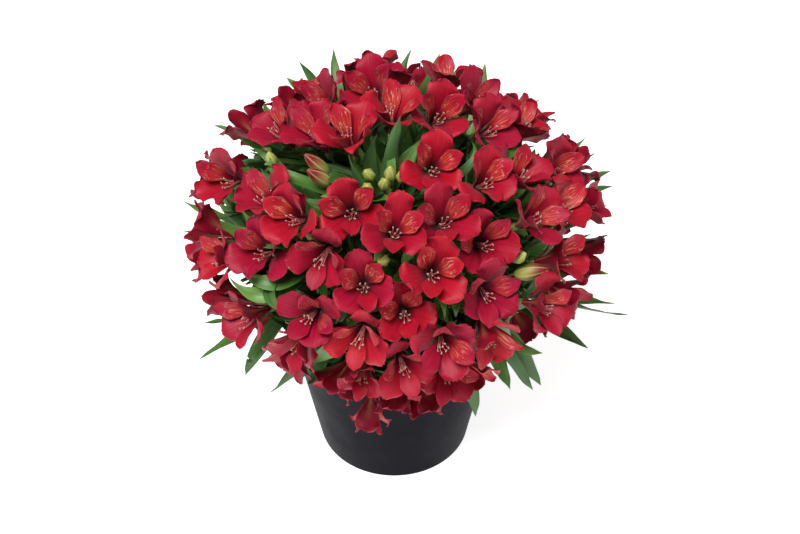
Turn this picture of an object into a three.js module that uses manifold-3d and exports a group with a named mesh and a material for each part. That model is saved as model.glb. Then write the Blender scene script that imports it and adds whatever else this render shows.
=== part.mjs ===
// A potted Peruvian lily in full bloom: a black pot filled with soil, flowering
// stems that each end in a head of crimson blooms, and leafy shoots between them.
// Millimetres, +Z up, the origin at the centre of the pot's flat base. Bearings are
// degrees about +Z, 0 at the front (-Y) and positive towards +X; climbs are degrees
// above the horizontal.
import * as THREE from 'three';
import { mergeVertices } from 'three/addons/utils/BufferGeometryUtils.js';
import Module from 'manifold-3d';

const wasm = await Module();
wasm.setup();

// Pot
const POT_HEIGHT = 145;
const POT_BASE_RADIUS = 72.5;
const POT_TOP_RADIUS = 95.8;
const POT_WALL = 2.4;
const POT_FLOOR = 3;
const POT_SIDES = 32;
const LIP_PROUD = 2.2;
const LIP_HEIGHT = 11;
const DRAIN_COUNT = 4;
const DRAIN_RADIUS = 4.5;
const DRAIN_CIRCLE = 50;

// Soil
const SOIL_TOP = 127;
const SOIL_SIDES = 16;
const SOIL_ROUGH = 1.6;
const FIT_GAP = 0.4;
const SOIL_INNER_RING = 0.55;
const HOLE_DEPTH = 26;
const ROOT_SPREAD = 76;

// The dome of blooms, the skirt where it tucks in towards the pot, and how fast its
// back shoulder falls away
const DOME_CENTRE_X = 2.3;
const DOME_CENTRE_Z = 227;
const DOME_RADIUS = 173;
const DOME_RISE = 145;
const SKIRT_FROM = 12;
const SKIRT_IN = 2.4;
const SKIRT_DOWN = 2.05;
const SKIRT_DROOP = 2;
const BACK_FALL = 0.2;

// Blooms
const BLOOM_SPACING = 37;
const BLOOM_SETTLE_STEPS = 14;
const BLOOM_FACE = 25;
const FOOT_RADIUS = 2.4;
const BLOOM_THROAT = 11;
const NOTCH_OUT = 9.5;
const NOTCH_UP = 22;
const TEPAL_THICK = 1.3;
const SHUT_SPREAD = 0.62;
const SHUT_LENGTHEN = 0.3;
const SHUT_NARROW = 0.3;

// Stems, ovaries, leaves and buds
const STEM_RADIUS = 2.1;
const STEM_SIDES = 5;
const STEM_STEPS = 3;
const STEM_BEND = 0.6;
const COLLAR_RISE = 6;
const KNOT_DROP = 30;
const KNOT_BEHIND = 0.6;
const KNOT_RADIUS = 2.4;
const RAY_STEP = 0.028;
const RAY_RADIUS = 1.1;
const OVARY_LENGTH = 8;
const OVARY_RADIUS = 3;
const SHOOT_RADIUS = 1.8;
const SHOOT_SIDES = 4;
const BUD_SIDES = 4;
const BUD_LENGTH = 15;
const BUD_RADIUS = 4.4;
const BUD_BELLY = 0.45;
const BUD_POINT = 0.7;
const LEAF_HALF = 7;
const LEAF_THICK = 1.2;
const LEAF_FOLD = 0.22;
const LEAF_WAVE = 0.8;
const LEAF_ARCH = 0.16;
const LEAF_STATIONS = [[0.35, 1], [0.72, 0.82]];
const STEM_LEAF_STATIONS = [[0.45, 0.85]];
const STEM_LEAF_LENGTH = 46;
const STEM_LEAF_RISE = 22;
const STEM_LEAF_DROOP = 0.2;
const PETIOLE_HALF = 1.3;
const STEM_LEAVES = 2;
const LEAF_STEP = 0.17;
const LEAF_TRIES = 7;
const SHOOT_LEAF_STEP = 0.07;
const HEAD_COUNT = 20;
const HEAD_ROUNDS = 6;
const LOWEST_HEAD = -8;
const GOLDEN_TURN = 137.508;
const ROOT_SPACING = 13;
const ROOT_SETTLE_STEPS = 12;
const SETTLE_SHARE = 0.3;
const FACE_SWAY = 9;
const SIZE_SWAY = 0.05;
const ROLL_SWAY = 22;
const SMOOTHING = 0.08;
const BLOOM_LEVELS = [0, 5, -5, 9, -9, 13];
const BLOOM_TURNS = [0, 30, -30];
const BUD_LEVELS = [0, 4, -4, 8, -8];
const LEAF_SWINGS = [0, 5, -5, 10, -10, 15, -15];
const LEAF_ROLLS = [0, 35, -35];

// Each bloom: its place on the dome as bearing and climb and, where it doesn't face
// straight out, the bearing and climb that it faces. A fifth value below 1 is a bloom
// that is only part open.
const FRONT_BLOOMS = [
  // The crown
  [180, 66], [-115, 79, -20, 55], [-95, 72, -45, 45], [-65, 67], [-82, 60, -70, 60],
  [-35, 70, -30, 75], [45, 77, 20, 50], [5, 79, 0, 80], [105, 67, 60, 50], [72, 64, 40, 45],
  [92, 54], [-112, 40, -140, 30],
  // The left shoulder
  [-77, 37, -30, 35], [-71, 22, -90, 20], [-50, 44], [-40, 43], [-44, 33, -25, 40],
  [-57, 21], [-58, 8, -95, 5, 0.6],
  // The middle
  [-16, 48, -5, 42], [-20, 38, -15, 15], [20, 58, 10, 42], [15, 48], [7, 44], [6, 34],
  [27, 39, 20, 38], [-10, 27], [-11, 19], [4, 26, 0, 38], [24, 21, 15, 30],
  [20, 13, 20, -15],
  // The right shoulder
  [40, 54, 30, 48], [57, 46], [73, 40, 50, 35], [90, 31, 120, 30], [84, 26], [63, 37],
  [50, 42], [55, 25], [44, 14], [55, 10], [62, 3],
  // The skirt
  [-43, 7], [-36, 4, -36, -25], [-20, 16, -10, 30], [-28, 9], [9, 14],
  [18, 5, 12, 25], [28, -5, 40, -35], [-6, 7, -6, 0, 0.6], [1, 8], [-17, -6, -40, -30],
  [-9, -10, -10, -60, 0.6], [0, -9, 0, -55, 0.75], [8, -8, 15, -50, 0.7],
];

// The back and the far sides, in rings: climb, first bearing, last bearing, count
const BACK_RINGS = [
  [56, 150, 224, 3],
  [38, 120, 222, 5],
  [20, 114, 255, 7],
  [3, 88, 268, 9],
  [-9, 84, 272, 6],
];

// Single buds that stand among the blooms, by the bearing and climb of the tip. A long
// one also has its length and the bearing and climb that it points to.
const BUDS = [
  [-16, 62], [-13, 58], [-3, 64], [3, 62], [-5, 60], [-31, 43], [-5, 38], [41, 32],
  [-10, 9], [-32, 32], [-37, 37], [-3, 33], [-52, 60, 27, -80, 50], [-44, 57, 25, -70, 45],
  [47, 24, 27, 85, 15], [152, 60, 19, 160, 75], [-70, 53], [165, 72], [-150, 48],
  [120, 8], [70, 30],
];

// Leafy shoots: the bearing and climb of each, how far its top stays under the dome,
// and the tip of each leaf by bearing, distance from the plant's axis and height
const SHOOTS = [
  { at: [-120, 34], under: 44, tips: [[-116, 178, 294], [-122, 162, 300], [-132, 160, 300]] },
  { at: [-147, 44], under: 46, tips: [
    [-139, 148, 322], [-145, 150, 331],
    [-157, 142, 340], [-150, 162, 298],
  ] },
  { at: [176, 52], under: 46, tips: [[184, 126, 336], [174, 130, 340], [163, 134, 337], [180, 152, 305]] },
  { at: [138, 42], under: 46, tips: [[147, 144, 331], [127, 158, 309], [137, 162, 298]] },
  { at: [108, 18], under: 46, tips: [
    [113, 180, 286], [109, 184, 277], [104, 193, 267],
    [101, 192, 258], [118, 182, 250],
  ] },
  { at: [92, 0], under: 44, tips: [[98, 186, 247], [91, 184, 231], [83, 184, 208], [102, 180, 205]] },
  { at: [72, -4], under: 42, tips: [[78, 192, 190], [84, 208, 160], [66, 178, 168]] },
  { at: [50, -4], under: 40, tips: [[62, 144, 118], [55, 144, 128], [50, 156, 190], [44, 138, 146]] },
  { at: [33, -8], under: 36, tips: [[41, 107, 92], [30, 122, 138]] },
  { at: [-62, -4], under: 42, tips: [[-62, 186, 170], [-66, 146, 122], [-58, 152, 148], [-75, 172, 172]] },
  { at: [-40, -8], under: 36, tips: [[-43, 118, 146], [-35, 128, 158], [-51, 140, 130]] },
  { at: [-94, 6], under: 44, tips: [[-98, 187, 250], [-92, 184, 232], [-86, 174, 214], [-105, 182, 218]] },
  { at: [-8, 61], under: 42, tips: [[4, 52, 386], [-12, 64, 377], [-24, 84, 370], [12, 92, 346]] },
  { at: [150, -2], under: 40, tips: [[150, 176, 205], [141, 170, 166], [158, 164, 158]] },
  { at: [-150, 0], under: 40, tips: [[-150, 178, 210], [-161, 165, 160], [-140, 165, 152]] },
  { at: [171, 14], under: 48, tips: [[178, 183, 262], [170, 177, 230], [189, 176, 200], [182, 152, 142]] },
];

const CRIMSON = 0xc4163a;
const GREEN = 0x3f6d31;
const BLACK = 0x2a2a2e;
const BROWN = 0x3b2a1e;

const UP = new THREE.Vector3(0, 0, 1);
const PICTURE_UP = new THREE.Vector3(0, 0.35, 1).normalize();
const radians = THREE.MathUtils.degToRad;
const degrees = THREE.MathUtils.radToDeg;

// A fixed draw from 0 to 1 for a set of whole numbers
function draw(...keys) {
  let mixed = 2166136261;
  for (const key of keys) {
    mixed = Math.imul(mixed ^ (key + 1013), 16777619);
    mixed ^= mixed >>> 13;
    mixed = Math.imul(mixed, 0x5bd1e995);
    mixed ^= mixed >>> 15;
  }
  return (mixed >>> 0) / 4294967296;
}

// A fixed draw from -size to size
function sway(size, ...keys) {
  return size * (2 * draw(...keys) - 1);
}

// The direction of a bearing and climb
function direction(bearing, climb) {
  const b = radians(bearing);
  const c = radians(climb);
  return new THREE.Vector3(Math.sin(b) * Math.cos(c), -Math.cos(b) * Math.cos(c), Math.sin(c));
}

// How far a place on the dome lies below the start of the skirt, in degrees
function skirt(climb) {
  return Math.max(0, SKIRT_FROM - climb);
}

// The way that a bloom there faces if nothing turns it
function outward(bearing, climb) {
  const c = radians(climb);
  const slope = Math.atan2(Math.sin(c) * DOME_RADIUS, Math.cos(c) * DOME_RISE);
  return direction(bearing, degrees(slope) - SKIRT_DROOP * skirt(climb));
}

// A point on the dome, or a distance out of it
function domePoint(bearing, climb, out = 0) {
  const c = radians(climb);
  const reach = DOME_RADIUS * Math.cos(c) - SKIRT_IN * skirt(climb);
  const height = DOME_CENTRE_Z + DOME_RISE * Math.sin(c) - SKIRT_DOWN * skirt(climb);
  const point = direction(bearing, 0).multiplyScalar(reach);
  point.z = height - BACK_FALL * Math.max(0, point.y) * Math.max(0, Math.sin(c));
  point.x += DOME_CENTRE_X;
  return point.addScaledVector(outward(bearing, climb), out);
}

// Where a stem that ends there leaves the soil: high ones in the middle, low ones outside
function rootPoint(bearing, climb) {
  const share = Math.max(0, 1 - Math.sin(radians(climb))) / 1.2;
  const point = direction(bearing, 0).multiplyScalar(ROOT_SPREAD * Math.sqrt(share));
  point.z = SOIL_TOP;
  return point;
}

// The step from one place on the dome to another, in mm along it
function domeStep(from, to) {
  const turn = to[0] - from[0] - 360 * Math.round((to[0] - from[0]) / 360);
  const across = radians(turn) * DOME_RADIUS * Math.cos(radians((from[1] + to[1]) / 2));
  const along = radians(to[1] - from[1]) * DOME_RISE;
  return [across, along, Math.hypot(across, along)];
}

// The frame of a thing that faces an axis: its Z is the axis, its X the top of its face
function facingFrame(origin, axis, roll) {
  const top = PICTURE_UP.clone().addScaledVector(axis, -PICTURE_UP.dot(axis)).normalize();
  top.applyAxisAngle(axis, roll);
  const side = new THREE.Vector3().crossVectors(axis, top);
  return new THREE.Matrix4().makeBasis(top, side, axis).setPosition(origin);
}

// Turns a closed geometry into a solid for joining and cutting
function toSolid(geometry) {
  geometry.deleteAttribute('normal');
  geometry.deleteAttribute('uv');
  const merged = mergeVertices(geometry, 1e-4);
  const corners = merged.index.array;
  const kept = [];
  for (let i = 0; i < corners.length; i += 3) {
    const [a, b, c] = [corners[i], corners[i + 1], corners[i + 2]];
    if (a !== b && b !== c && c !== a) {
      kept.push(a, b, c);
    }
  }
  return new wasm.Manifold(new wasm.Mesh({
    numProp: 3,
    vertProperties: Float32Array.from(merged.attributes.position.array),
    triVerts: Uint32Array.from(kept),
  }));
}

// Closes a list of points and faces into a geometry
function shell(points, faces) {
  const geometry = new THREE.BufferGeometry();
  const flat = points.flatMap((point) => [point.x, point.y, point.z]);
  geometry.setAttribute('position', new THREE.Float32BufferAttribute(flat, 3));
  geometry.setIndex(faces.flat());
  return geometry;
}

function joined(solids) {
  return wasm.Manifold.union(solids);
}

function near(a, b) {
  const boxA = a.boundingBox();
  const boxB = b.boundingBox();
  return [0, 1, 2].every((k) => boxA.min[k] < boxB.max[k] && boxB.min[k] < boxA.max[k]);
}

function largestFirst(solid) {
  return solid.decompose().sort((a, b) => b.volume() - a.volume());
}

// The six tepals of a bloom, as distances out from its axis and up from its foot:
// the rib's middle, the outline's widest points with their half width, and the tip
const OUTER_TEPAL = { rib: [15, 27], sides: [[17.2, 29.2, 10.8], [22.6, 31.6, 8]], tip: [25.6, 32.2] };
const STREAKED_TEPAL = { rib: [11.6, 28], sides: [[14.2, 32.6, 7.2]], tip: [20, 38.6] };
const LOWER_TEPAL = { rib: [12.6, 28], sides: [[15.6, 32, 7.6]], tip: [21.6, 36.6] };
const TEPALS = [
  OUTER_TEPAL, STREAKED_TEPAL, OUTER_TEPAL, LOWER_TEPAL, OUTER_TEPAL, STREAKED_TEPAL,
];

// A bloom is one lobed funnel: its front and back meet in the sharp outline of the
// tepals. It narrows behind to three feet, and runs on through the ovary and down the
// ray to where that leaves the stem, unless it is wanted alone. Grown, it is a little
// larger all round and stands for its own room.
function flowerSolid(bloom, grown, alone = false) {
  const { size, axis } = bloom;
  const shut = 1 - bloom.open;
  const frame = facingFrame(bloom.foot, axis, bloom.roll);
  const points = [];
  const faces = [];
  const add = (point) => points.push(point) - 1;
  const place = (angle, out, up, wide = 0) => {
    const spread = out * (1 - SHUT_SPREAD * shut);
    const half = wide * (1 - SHUT_NARROW * shut);
    const x = Math.cos(angle) * spread - Math.sin(angle) * half;
    const y = Math.sin(angle) * spread + Math.cos(angle) * half;
    return new THREE.Vector3(x, y, up + SHUT_LENGTHEN * shut * out).multiplyScalar(size);
  };
  const lift = (point, amount) => point.clone().add(new THREE.Vector3(0, 0, amount));
  const throat = add(lift(place(0, 0, BLOOM_THROAT), grown));
  const notches = [];
  const feet = [];
  for (let k = 0; k < 6; k += 1) {
    const notch = place(radians(60 * k - 30), NOTCH_OUT + grown, NOTCH_UP);
    const front = add(lift(notch, grown));
    notches.push([front, grown ? add(lift(notch, -grown)) : front]);
  }
  for (let k = 0; k < 3; k += 1) {
    feet.push(add(place(radians(120 * k), FOOT_RADIUS + 2 * grown, 0)));
  }
  TEPALS.forEach((tepal, k) => {
    const angle = radians(60 * k);
    const rib = place(angle, ...tepal.rib);
    const tip = place(angle, ...tepal.tip);
    const along = tip.clone().sub(place(angle, NOTCH_OUT, NOTCH_UP)).normalize();
    const across = new THREE.Vector3(-Math.sin(angle), Math.cos(angle), 0);
    const normal = new THREE.Vector3().crossVectors(along, across);
    const ribFront = add(rib.clone().addScaledVector(normal, grown));
    const ribBack = add(rib.clone().addScaledVector(normal, -TEPAL_THICK - grown));
    const rim = (out, up, wide) => {
      const point = place(angle, out, up, wide);
      point.addScaledVector(point.clone().sub(rib).normalize(), grown);
      const front = add(point.clone().addScaledVector(normal, grown));
      return [front, grown ? add(point.clone().addScaledVector(normal, -grown)) : front];
    };
    const right = tepal.sides.map(([out, up, wide]) => rim(out, up, -wide));
    const left = tepal.sides.map(([out, up, wide]) => rim(out, up, wide)).reverse();
    const next = (k + 1) % 6;
    const path = [notches[k], ...right, rim(...tepal.tip, 0), ...left, notches[next]];
    for (let i = 0; i + 1 < path.length; i += 1) {
      const [front, back] = path[i];
      const [nextFront, nextBack] = path[i + 1];
      faces.push([ribFront, front, nextFront], [ribBack, nextBack, back]);
      if (grown) {
        faces.push([front, back, nextBack], [front, nextBack, nextFront]);
      }
    }
    faces.push([ribFront, notches[next][0], throat], [ribFront, throat, notches[k][0]]);
    const foot = feet[Math.floor(k / 2)];
    const nextFoot = feet[Math.floor(next / 2)];
    faces.push([ribBack, nextFoot, notches[next][1]], [ribBack, notches[k][1], foot]);
    if (foot !== nextFoot) {
      faces.push([ribBack, foot, nextFoot]);
    }
  });
  points.forEach((point) => point.applyMatrix4(frame));
  if (alone) {
    faces.push([feet[0], feet[2], feet[1]]);
    return toSolid(shell(points, faces));
  }
  const neck = bloom.foot.clone().addScaledVector(axis, -OVARY_LENGTH);
  const belly = bloom.foot.clone().addScaledVector(axis, -OVARY_LENGTH / 2);
  const rise = neck.clone().sub(bloom.start).normalize();
  const side = new THREE.Vector3().setFromMatrixColumn(frame, 0);
  const ring = (centre, along, radius) => {
    side.addScaledVector(along, -side.dot(along)).normalize();
    return [0, 1, 2].map((k) => {
      const spoke = side.clone().applyAxisAngle(along, radians(120 * k));
      return add(centre.clone().addScaledVector(spoke, radius + 2 * grown));
    });
  };
  const rings = [
    feet,
    ring(belly, axis, OVARY_RADIUS),
    ring(neck, axis.clone().add(rise).normalize(), RAY_RADIUS),
    ring(bloom.start, rise, RAY_RADIUS),
  ];
  for (let r = 0; r + 1 < rings.length; r += 1) {
    for (let i = 0; i < 3; i += 1) {
      const j = (i + 1) % 3;
      faces.push([rings[r][i], rings[r + 1][j], rings[r][j]]);
      faces.push([rings[r][i], rings[r + 1][i], rings[r + 1][j]]);
    }
  }
  const last = rings[rings.length - 1];
  faces.push([last[0], last[2], last[1]]);
  return toSolid(shell(points, faces));
}

// A blade from its foot to its tip over a bend: flat rings with a rib on both faces.
// Grown, it has one more ring round its tip.
function bladeSolid(blade, grown) {
  const curve = new THREE.QuadraticBezierCurve3(blade.foot, blade.bend, blade.tip);
  const points = [];
  const faces = [];
  const stations = grown ? [...blade.stations, [1, 0]] : blade.stations;
  const rings = stations.map(([share, half], index) => {
    const centre = curve.getPoint(share);
    const along = curve.getTangent(share);
    const side = new THREE.Vector3().crossVectors(blade.face, along).normalize();
    side.applyAxisAngle(along, blade.twist * share);
    const normal = new THREE.Vector3().crossVectors(along, side);
    const wave = half > 0 ? blade.wave * (index % 2 ? 1 : -1) : 0;
    const edge = (sign, lift) => centre.clone()
      .addScaledVector(side, sign * (half + grown))
      .addScaledVector(normal, LEAF_FOLD * half + lift + sign * wave * share);
    const rib = (lift) => centre.clone().addScaledVector(normal, lift);
    const thick = LEAF_THICK / 2 + grown;
    const ring = grown
      ? [edge(1, grown), rib(thick), edge(-1, grown), edge(-1, -grown), rib(-thick), edge(1, -grown)]
      : [edge(1, 0), rib(thick), edge(-1, 0), rib(-thick)];
    return ring.map((point) => points.push(point) - 1);
  });
  const count = rings[0].length;
  const tip = points.push(blade.tip.clone().addScaledVector(curve.getTangent(1), grown)) - 1;
  for (let r = 0; r + 1 < rings.length; r += 1) {
    for (let i = 0; i < count; i += 1) {
      const j = (i + 1) % count;
      const [a, b, c, d] = [rings[r][i], rings[r][j], rings[r + 1][j], rings[r + 1][i]];
      const edgeFirst = count === 4 ? i % 2 === 0 : i % 3 === 0;
      faces.push(...(edgeFirst ? [[a, b, c], [a, c, d]] : [[a, b, d], [b, c, d]]));
    }
  }
  const last = rings[rings.length - 1];
  for (let i = 0; i < count; i += 1) {
    faces.push([last[i], last[(i + 1) % count], tip]);
  }
  for (let i = 1; i + 1 < count; i += 1) {
    faces.push([rings[0][0], rings[0][i + 1], rings[0][i]]);
  }
  return toSolid(shell(points, faces));
}

// A tube through a few points, with a radius at each
function tubeSolid(centres, radii, sides, grown) {
  const points = [];
  const faces = [];
  const side = new THREE.Vector3(1, 0, 0);
  const last = centres.length - 1;
  const rings = centres.map((centre, index) => {
    const before = centres[Math.max(0, index - 1)];
    const after = centres[Math.min(last, index + 1)];
    const along = after.clone().sub(before).normalize();
    side.addScaledVector(along, -side.dot(along)).normalize();
    const across = new THREE.Vector3().crossVectors(along, side);
    const radius = radii[index] + grown / Math.cos(Math.PI / sides);
    const shift = index === 0 ? -grown : index === last ? grown : 0;
    const middle = centre.clone().addScaledVector(along, shift);
    const ring = [];
    for (let i = 0; i < sides; i += 1) {
      const angle = (2 * Math.PI * i) / sides;
      const point = middle.clone().addScaledVector(side, radius * Math.cos(angle));
      ring.push(points.push(point.addScaledVector(across, radius * Math.sin(angle))) - 1);
    }
    return ring;
  });
  for (let r = 0; r < last; r += 1) {
    for (let i = 0; i < sides; i += 1) {
      const j = (i + 1) % sides;
      faces.push([rings[r][i], rings[r][j], rings[r + 1][j]]);
      faces.push([rings[r][i], rings[r + 1][j], rings[r + 1][i]]);
    }
  }
  for (let i = 1; i + 1 < sides; i += 1) {
    faces.push([rings[0][0], rings[0][i + 1], rings[0][i]]);
    faces.push([rings[last][0], rings[last][i], rings[last][i + 1]]);
  }
  return toSolid(shell(points, faces));
}

// A stem stands straight in the soil, then bends over to the knot that its rays leave
function stemSolid(stem, grown) {
  const foot = stem.root.clone().setZ(SOIL_TOP - HOLE_DEPTH + FIT_GAP);
  const curve = stemCurve(stem);
  const centres = [foot];
  for (let i = 0; i <= STEM_STEPS; i += 1) {
    centres.push(curve.getPoint(i / STEM_STEPS));
  }
  const radii = centres.map((_, i) => (i > STEM_STEPS ? stem.knotRadius : stem.radius));
  return tubeSolid(centres, radii, stem.sides, grown);
}

function stemCurve(stem) {
  const collar = stem.root.clone().setZ(SOIL_TOP + COLLAR_RISE);
  const bend = stem.root.clone().setZ(THREE.MathUtils.lerp(collar.z, stem.knot.z, STEM_BEND));
  return new THREE.QuadraticBezierCurve3(collar, bend, stem.knot);
}

// A ray may carry a closed bud
function budSolid(bud, grown) {
  const foot = bud.tip.clone().addScaledVector(bud.axis, -bud.length);
  const belly = bud.tip.clone().addScaledVector(bud.axis, -BUD_BELLY * bud.length);
  const radius = BUD_RADIUS * Math.sqrt(bud.length / BUD_LENGTH);
  const radii = [RAY_RADIUS, RAY_RADIUS, radius, BUD_POINT];
  return tubeSolid([bud.start, foot, belly, bud.tip], radii, BUD_SIDES, grown);
}

// Pushes things apart on the dome until they keep a spacing
function settle(things, spacing, steps) {
  for (let step = 0; step < steps; step += 1) {
    for (let i = 0; i < things.length; i += 1) {
      for (let j = 0; j < i; j += 1) {
        const [across, along, apart] = domeStep(things[j].place, things[i].place);
        if (apart < spacing) {
          const push = (SETTLE_SHARE * (spacing - apart)) / Math.max(apart, 1);
          shift(things[i], across * push, along * push);
          shift(things[j], -across * push, -along * push);
        }
      }
    }
  }
}

// Moves a thing along the dome by distances across and up it
function shift(thing, across, along) {
  const [bearing, climb] = thing.place;
  const girth = DOME_RADIUS * Math.max(0.1, Math.cos(radians(climb)));
  thing.place = [bearing + degrees(across / girth), climb + degrees(along / DOME_RISE)];
}

// Where a bloom's foot lies when its face stands out of the dome by a distance
function bloomFoot(bloom, out) {
  const face = domePoint(...bloom.place, out);
  return face.addScaledVector(bloom.axis, -BLOOM_FACE * bloom.size);
}

// The ways that a bloom can stand to miss its neighbours, the plainest first
function bloomWays(bloom) {
  return BLOOM_LEVELS.flatMap((out) => BLOOM_TURNS.map((turn) => ({
    ...bloom, foot: bloomFoot(bloom, out), roll: bloom.roll + radians(turn),
  })));
}

// The ways that a bud can stand, by how far its tip stands out of the dome
function budWays(bud) {
  return BUD_LEVELS.map((out) => ({ ...bud, tip: domePoint(...bud.place, out) }));
}

// All the blooms of the plant, each with its foot, the way it faces and its size
function layBlooms() {
  const blooms = FRONT_BLOOMS.map(([bearing, climb, faceBearing, faceClimb, open = 1]) => ({
    place: [bearing, climb],
    face: faceBearing === undefined ? null : [faceBearing, faceClimb],
    open,
  }));
  BACK_RINGS.forEach(([climb, first, last, count], ring) => {
    for (let i = 0; i < count; i += 1) {
      const bearing = first + ((last - first) * i) / (count - 1) + sway(4, ring, i, 1);
      blooms.push({ place: [bearing, climb + sway(4, ring, i, 2)], face: null, open: 1 });
    }
  });
  settle(blooms, BLOOM_SPACING, BLOOM_SETTLE_STEPS);
  blooms.forEach((bloom, i) => {
    const [bearing, climb] = bloom.place;
    bloom.axis = bloom.face
      ? direction(...bloom.face)
      : outward(bearing + sway(FACE_SWAY, i, 3), climb + sway(FACE_SWAY, i, 4));
    bloom.size = 1 + sway(SIZE_SWAY, i, 5);
    bloom.roll = radians(sway(ROLL_SWAY, i, 6));
    bloom.foot = bloomFoot(bloom, 0);
  });
  return blooms;
}

// Shares the blooms out to heads of near neighbours
function layHeads(blooms) {
  const heads = [];
  const lowest = Math.sin(radians(LOWEST_HEAD));
  for (let i = 0; i < HEAD_COUNT; i += 1) {
    const climb = degrees(Math.asin(1 - ((i + 0.5) / HEAD_COUNT) * (1 - lowest)));
    heads.push({ place: [i * GOLDEN_TURN, climb], blooms: [], buds: [] });
  }
  const nearest = (place) => heads.reduce((best, head) => (
    domeStep(head.place, place)[2] < domeStep(best.place, place)[2] ? head : best));
  for (let round = 0; round < HEAD_ROUNDS; round += 1) {
    heads.forEach((head) => { head.blooms = []; });
    blooms.forEach((bloom) => nearest(bloom.place).blooms.push(bloom));
    for (const head of heads) {
      const steps = head.blooms.map((bloom) => domeStep(head.place, bloom.place));
      const mean = (k) => steps.reduce((sum, step) => sum + step[k], 0) / Math.max(1, steps.length);
      shift(head, mean(0), mean(1));
    }
  }
  BUDS.forEach(([bearing, climb, length = BUD_LENGTH, ...face], i) => {
    const axis = face.length
      ? direction(...face)
      : outward(bearing + sway(20, i, 8), climb + sway(20, i, 9));
    nearest([bearing, climb]).buds.push({ place: [bearing, climb], axis, length });
  });
  return heads;
}

// The stem of a head: its knot lies behind the feet of the head's blooms
function layStem(head) {
  const feet = new THREE.Vector3();
  const faces = new THREE.Vector3();
  for (const bloom of head.blooms) {
    feet.add(bloom.foot).addScaledVector(bloom.axis, -OVARY_LENGTH);
    faces.add(bloom.axis);
  }
  feet.divideScalar(head.blooms.length);
  const root = rootPoint(...head.place);
  const back = feet.clone().sub(root).normalize().lerp(faces.normalize(), KNOT_BEHIND);
  const knot = feet.addScaledVector(back.normalize(), -KNOT_DROP);
  return { root, knot, radius: STEM_RADIUS, knotRadius: KNOT_RADIUS, sides: STEM_SIDES, head };
}

// The rays leave the stem one below another, close under its knot
function startRays(stem) {
  const curve = stemCurve(stem);
  const rays = [...stem.head.blooms, ...stem.head.buds];
  rays.forEach((ray, i) => { ray.start = curve.getPoint(1 - RAY_STEP * (i + 0.2)); });
}

function layShoot(shoot) {
  const [bearing, climb] = shoot.at;
  const knot = domePoint(bearing, climb, -shoot.under);
  const root = rootPoint(bearing, climb);
  return { root, knot, radius: SHOOT_RADIUS, knotRadius: SHOOT_RADIUS, sides: SHOOT_SIDES, shoot };
}

// Keeps the roots of neighbouring stems apart in the soil
function settleRoots(stems) {
  for (let step = 0; step < ROOT_SETTLE_STEPS; step += 1) {
    for (let i = 0; i < stems.length; i += 1) {
      for (let j = 0; j < i; j += 1) {
        const apart = stems[i].root.clone().sub(stems[j].root);
        const short = ROOT_SPACING - apart.length();
        if (short > 0) {
          apart.normalize().multiplyScalar(short / 2);
          stems[i].root.add(apart);
          stems[j].root.sub(apart);
        }
      }
    }
  }
}

// The ways that a shoot's leaf can arch from the stem to its own tip
function shootBladeWays(stem, index, leaf) {
  const { at, tips } = stem.shoot;
  const [bearing, reach, height] = tips[leaf];
  const tip = direction(bearing, 0).multiplyScalar(reach);
  tip.x += DOME_CENTRE_X;
  tip.z = height;
  const foot = stemCurve(stem).getPoint(1 - SHOOT_LEAF_STEP * (leaf + 0.4));
  const span = tip.distanceTo(foot);
  const arch = outward(...at);
  const swing = new THREE.Vector3().crossVectors(arch, tip.clone().sub(foot)).normalize();
  const half = LEAF_HALF * (1 + sway(0.15, index, leaf, 11));
  return LEAF_SWINGS.flatMap((offset) => LEAF_ROLLS.map((roll) => {
    const bend = foot.clone().lerp(tip, 0.5).addScaledVector(arch, LEAF_ARCH * span);
    bend.addScaledVector(swing, offset);
    return {
      foot,
      bend,
      tip,
      face: bladeFace(bend),
      twist: radians(sway(20, index, leaf, 12) + roll),
      wave: LEAF_WAVE,
      stations: bladeStations(LEAF_STATIONS, half),
    };
  }));
}

// The leaves of a head's stem climb it in a spiral, and each may turn further round
// the stem to find room between its neighbours
function stemBladeWays(stem, index, leaf) {
  const curve = stemCurve(stem);
  const rays = stem.head.blooms.length + stem.head.buds.length;
  const share = 1 - RAY_STEP * rays - LEAF_STEP * (leaf + 0.3);
  const foot = curve.getPoint(share);
  const length = STEM_LEAF_LENGTH * (1 + 0.1 * leaf + sway(0.1, index, leaf, 14));
  const rise = STEM_LEAF_RISE + sway(14, index, leaf, 13);
  const ways = [];
  for (let turn = 0; turn < 360; turn += 360 / LEAF_TRIES) {
    const aim = direction(leaf * GOLDEN_TURN + index * 40 + turn, rise);
    aim.addScaledVector(curve.getTangent(share), 0.3).normalize();
    const bend = foot.clone().addScaledVector(aim, 0.55 * length);
    const tip = foot.clone().addScaledVector(aim, length);
    tip.z -= STEM_LEAF_DROOP * length;
    ways.push({
      foot,
      bend,
      tip,
      face: bladeFace(bend),
      twist: radians(sway(25, index, leaf, 15)),
      wave: 0,
      stations: bladeStations(STEM_LEAF_STATIONS, LEAF_HALF),
    });
  }
  return ways;
}

// The rings of a blade: its stalk, then each share of its length with its half width
function bladeStations(stations, half) {
  return [[0, PETIOLE_HALF], ...stations.map(([share, wide]) => [share, wide * half])];
}

// The upper side of a leaf looks up and in towards the plant's axis
function bladeFace(point) {
  return new THREE.Vector3(-point.x, -point.y, 0).normalize().multiplyScalar(0.7).add(UP).normalize();
}

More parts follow.
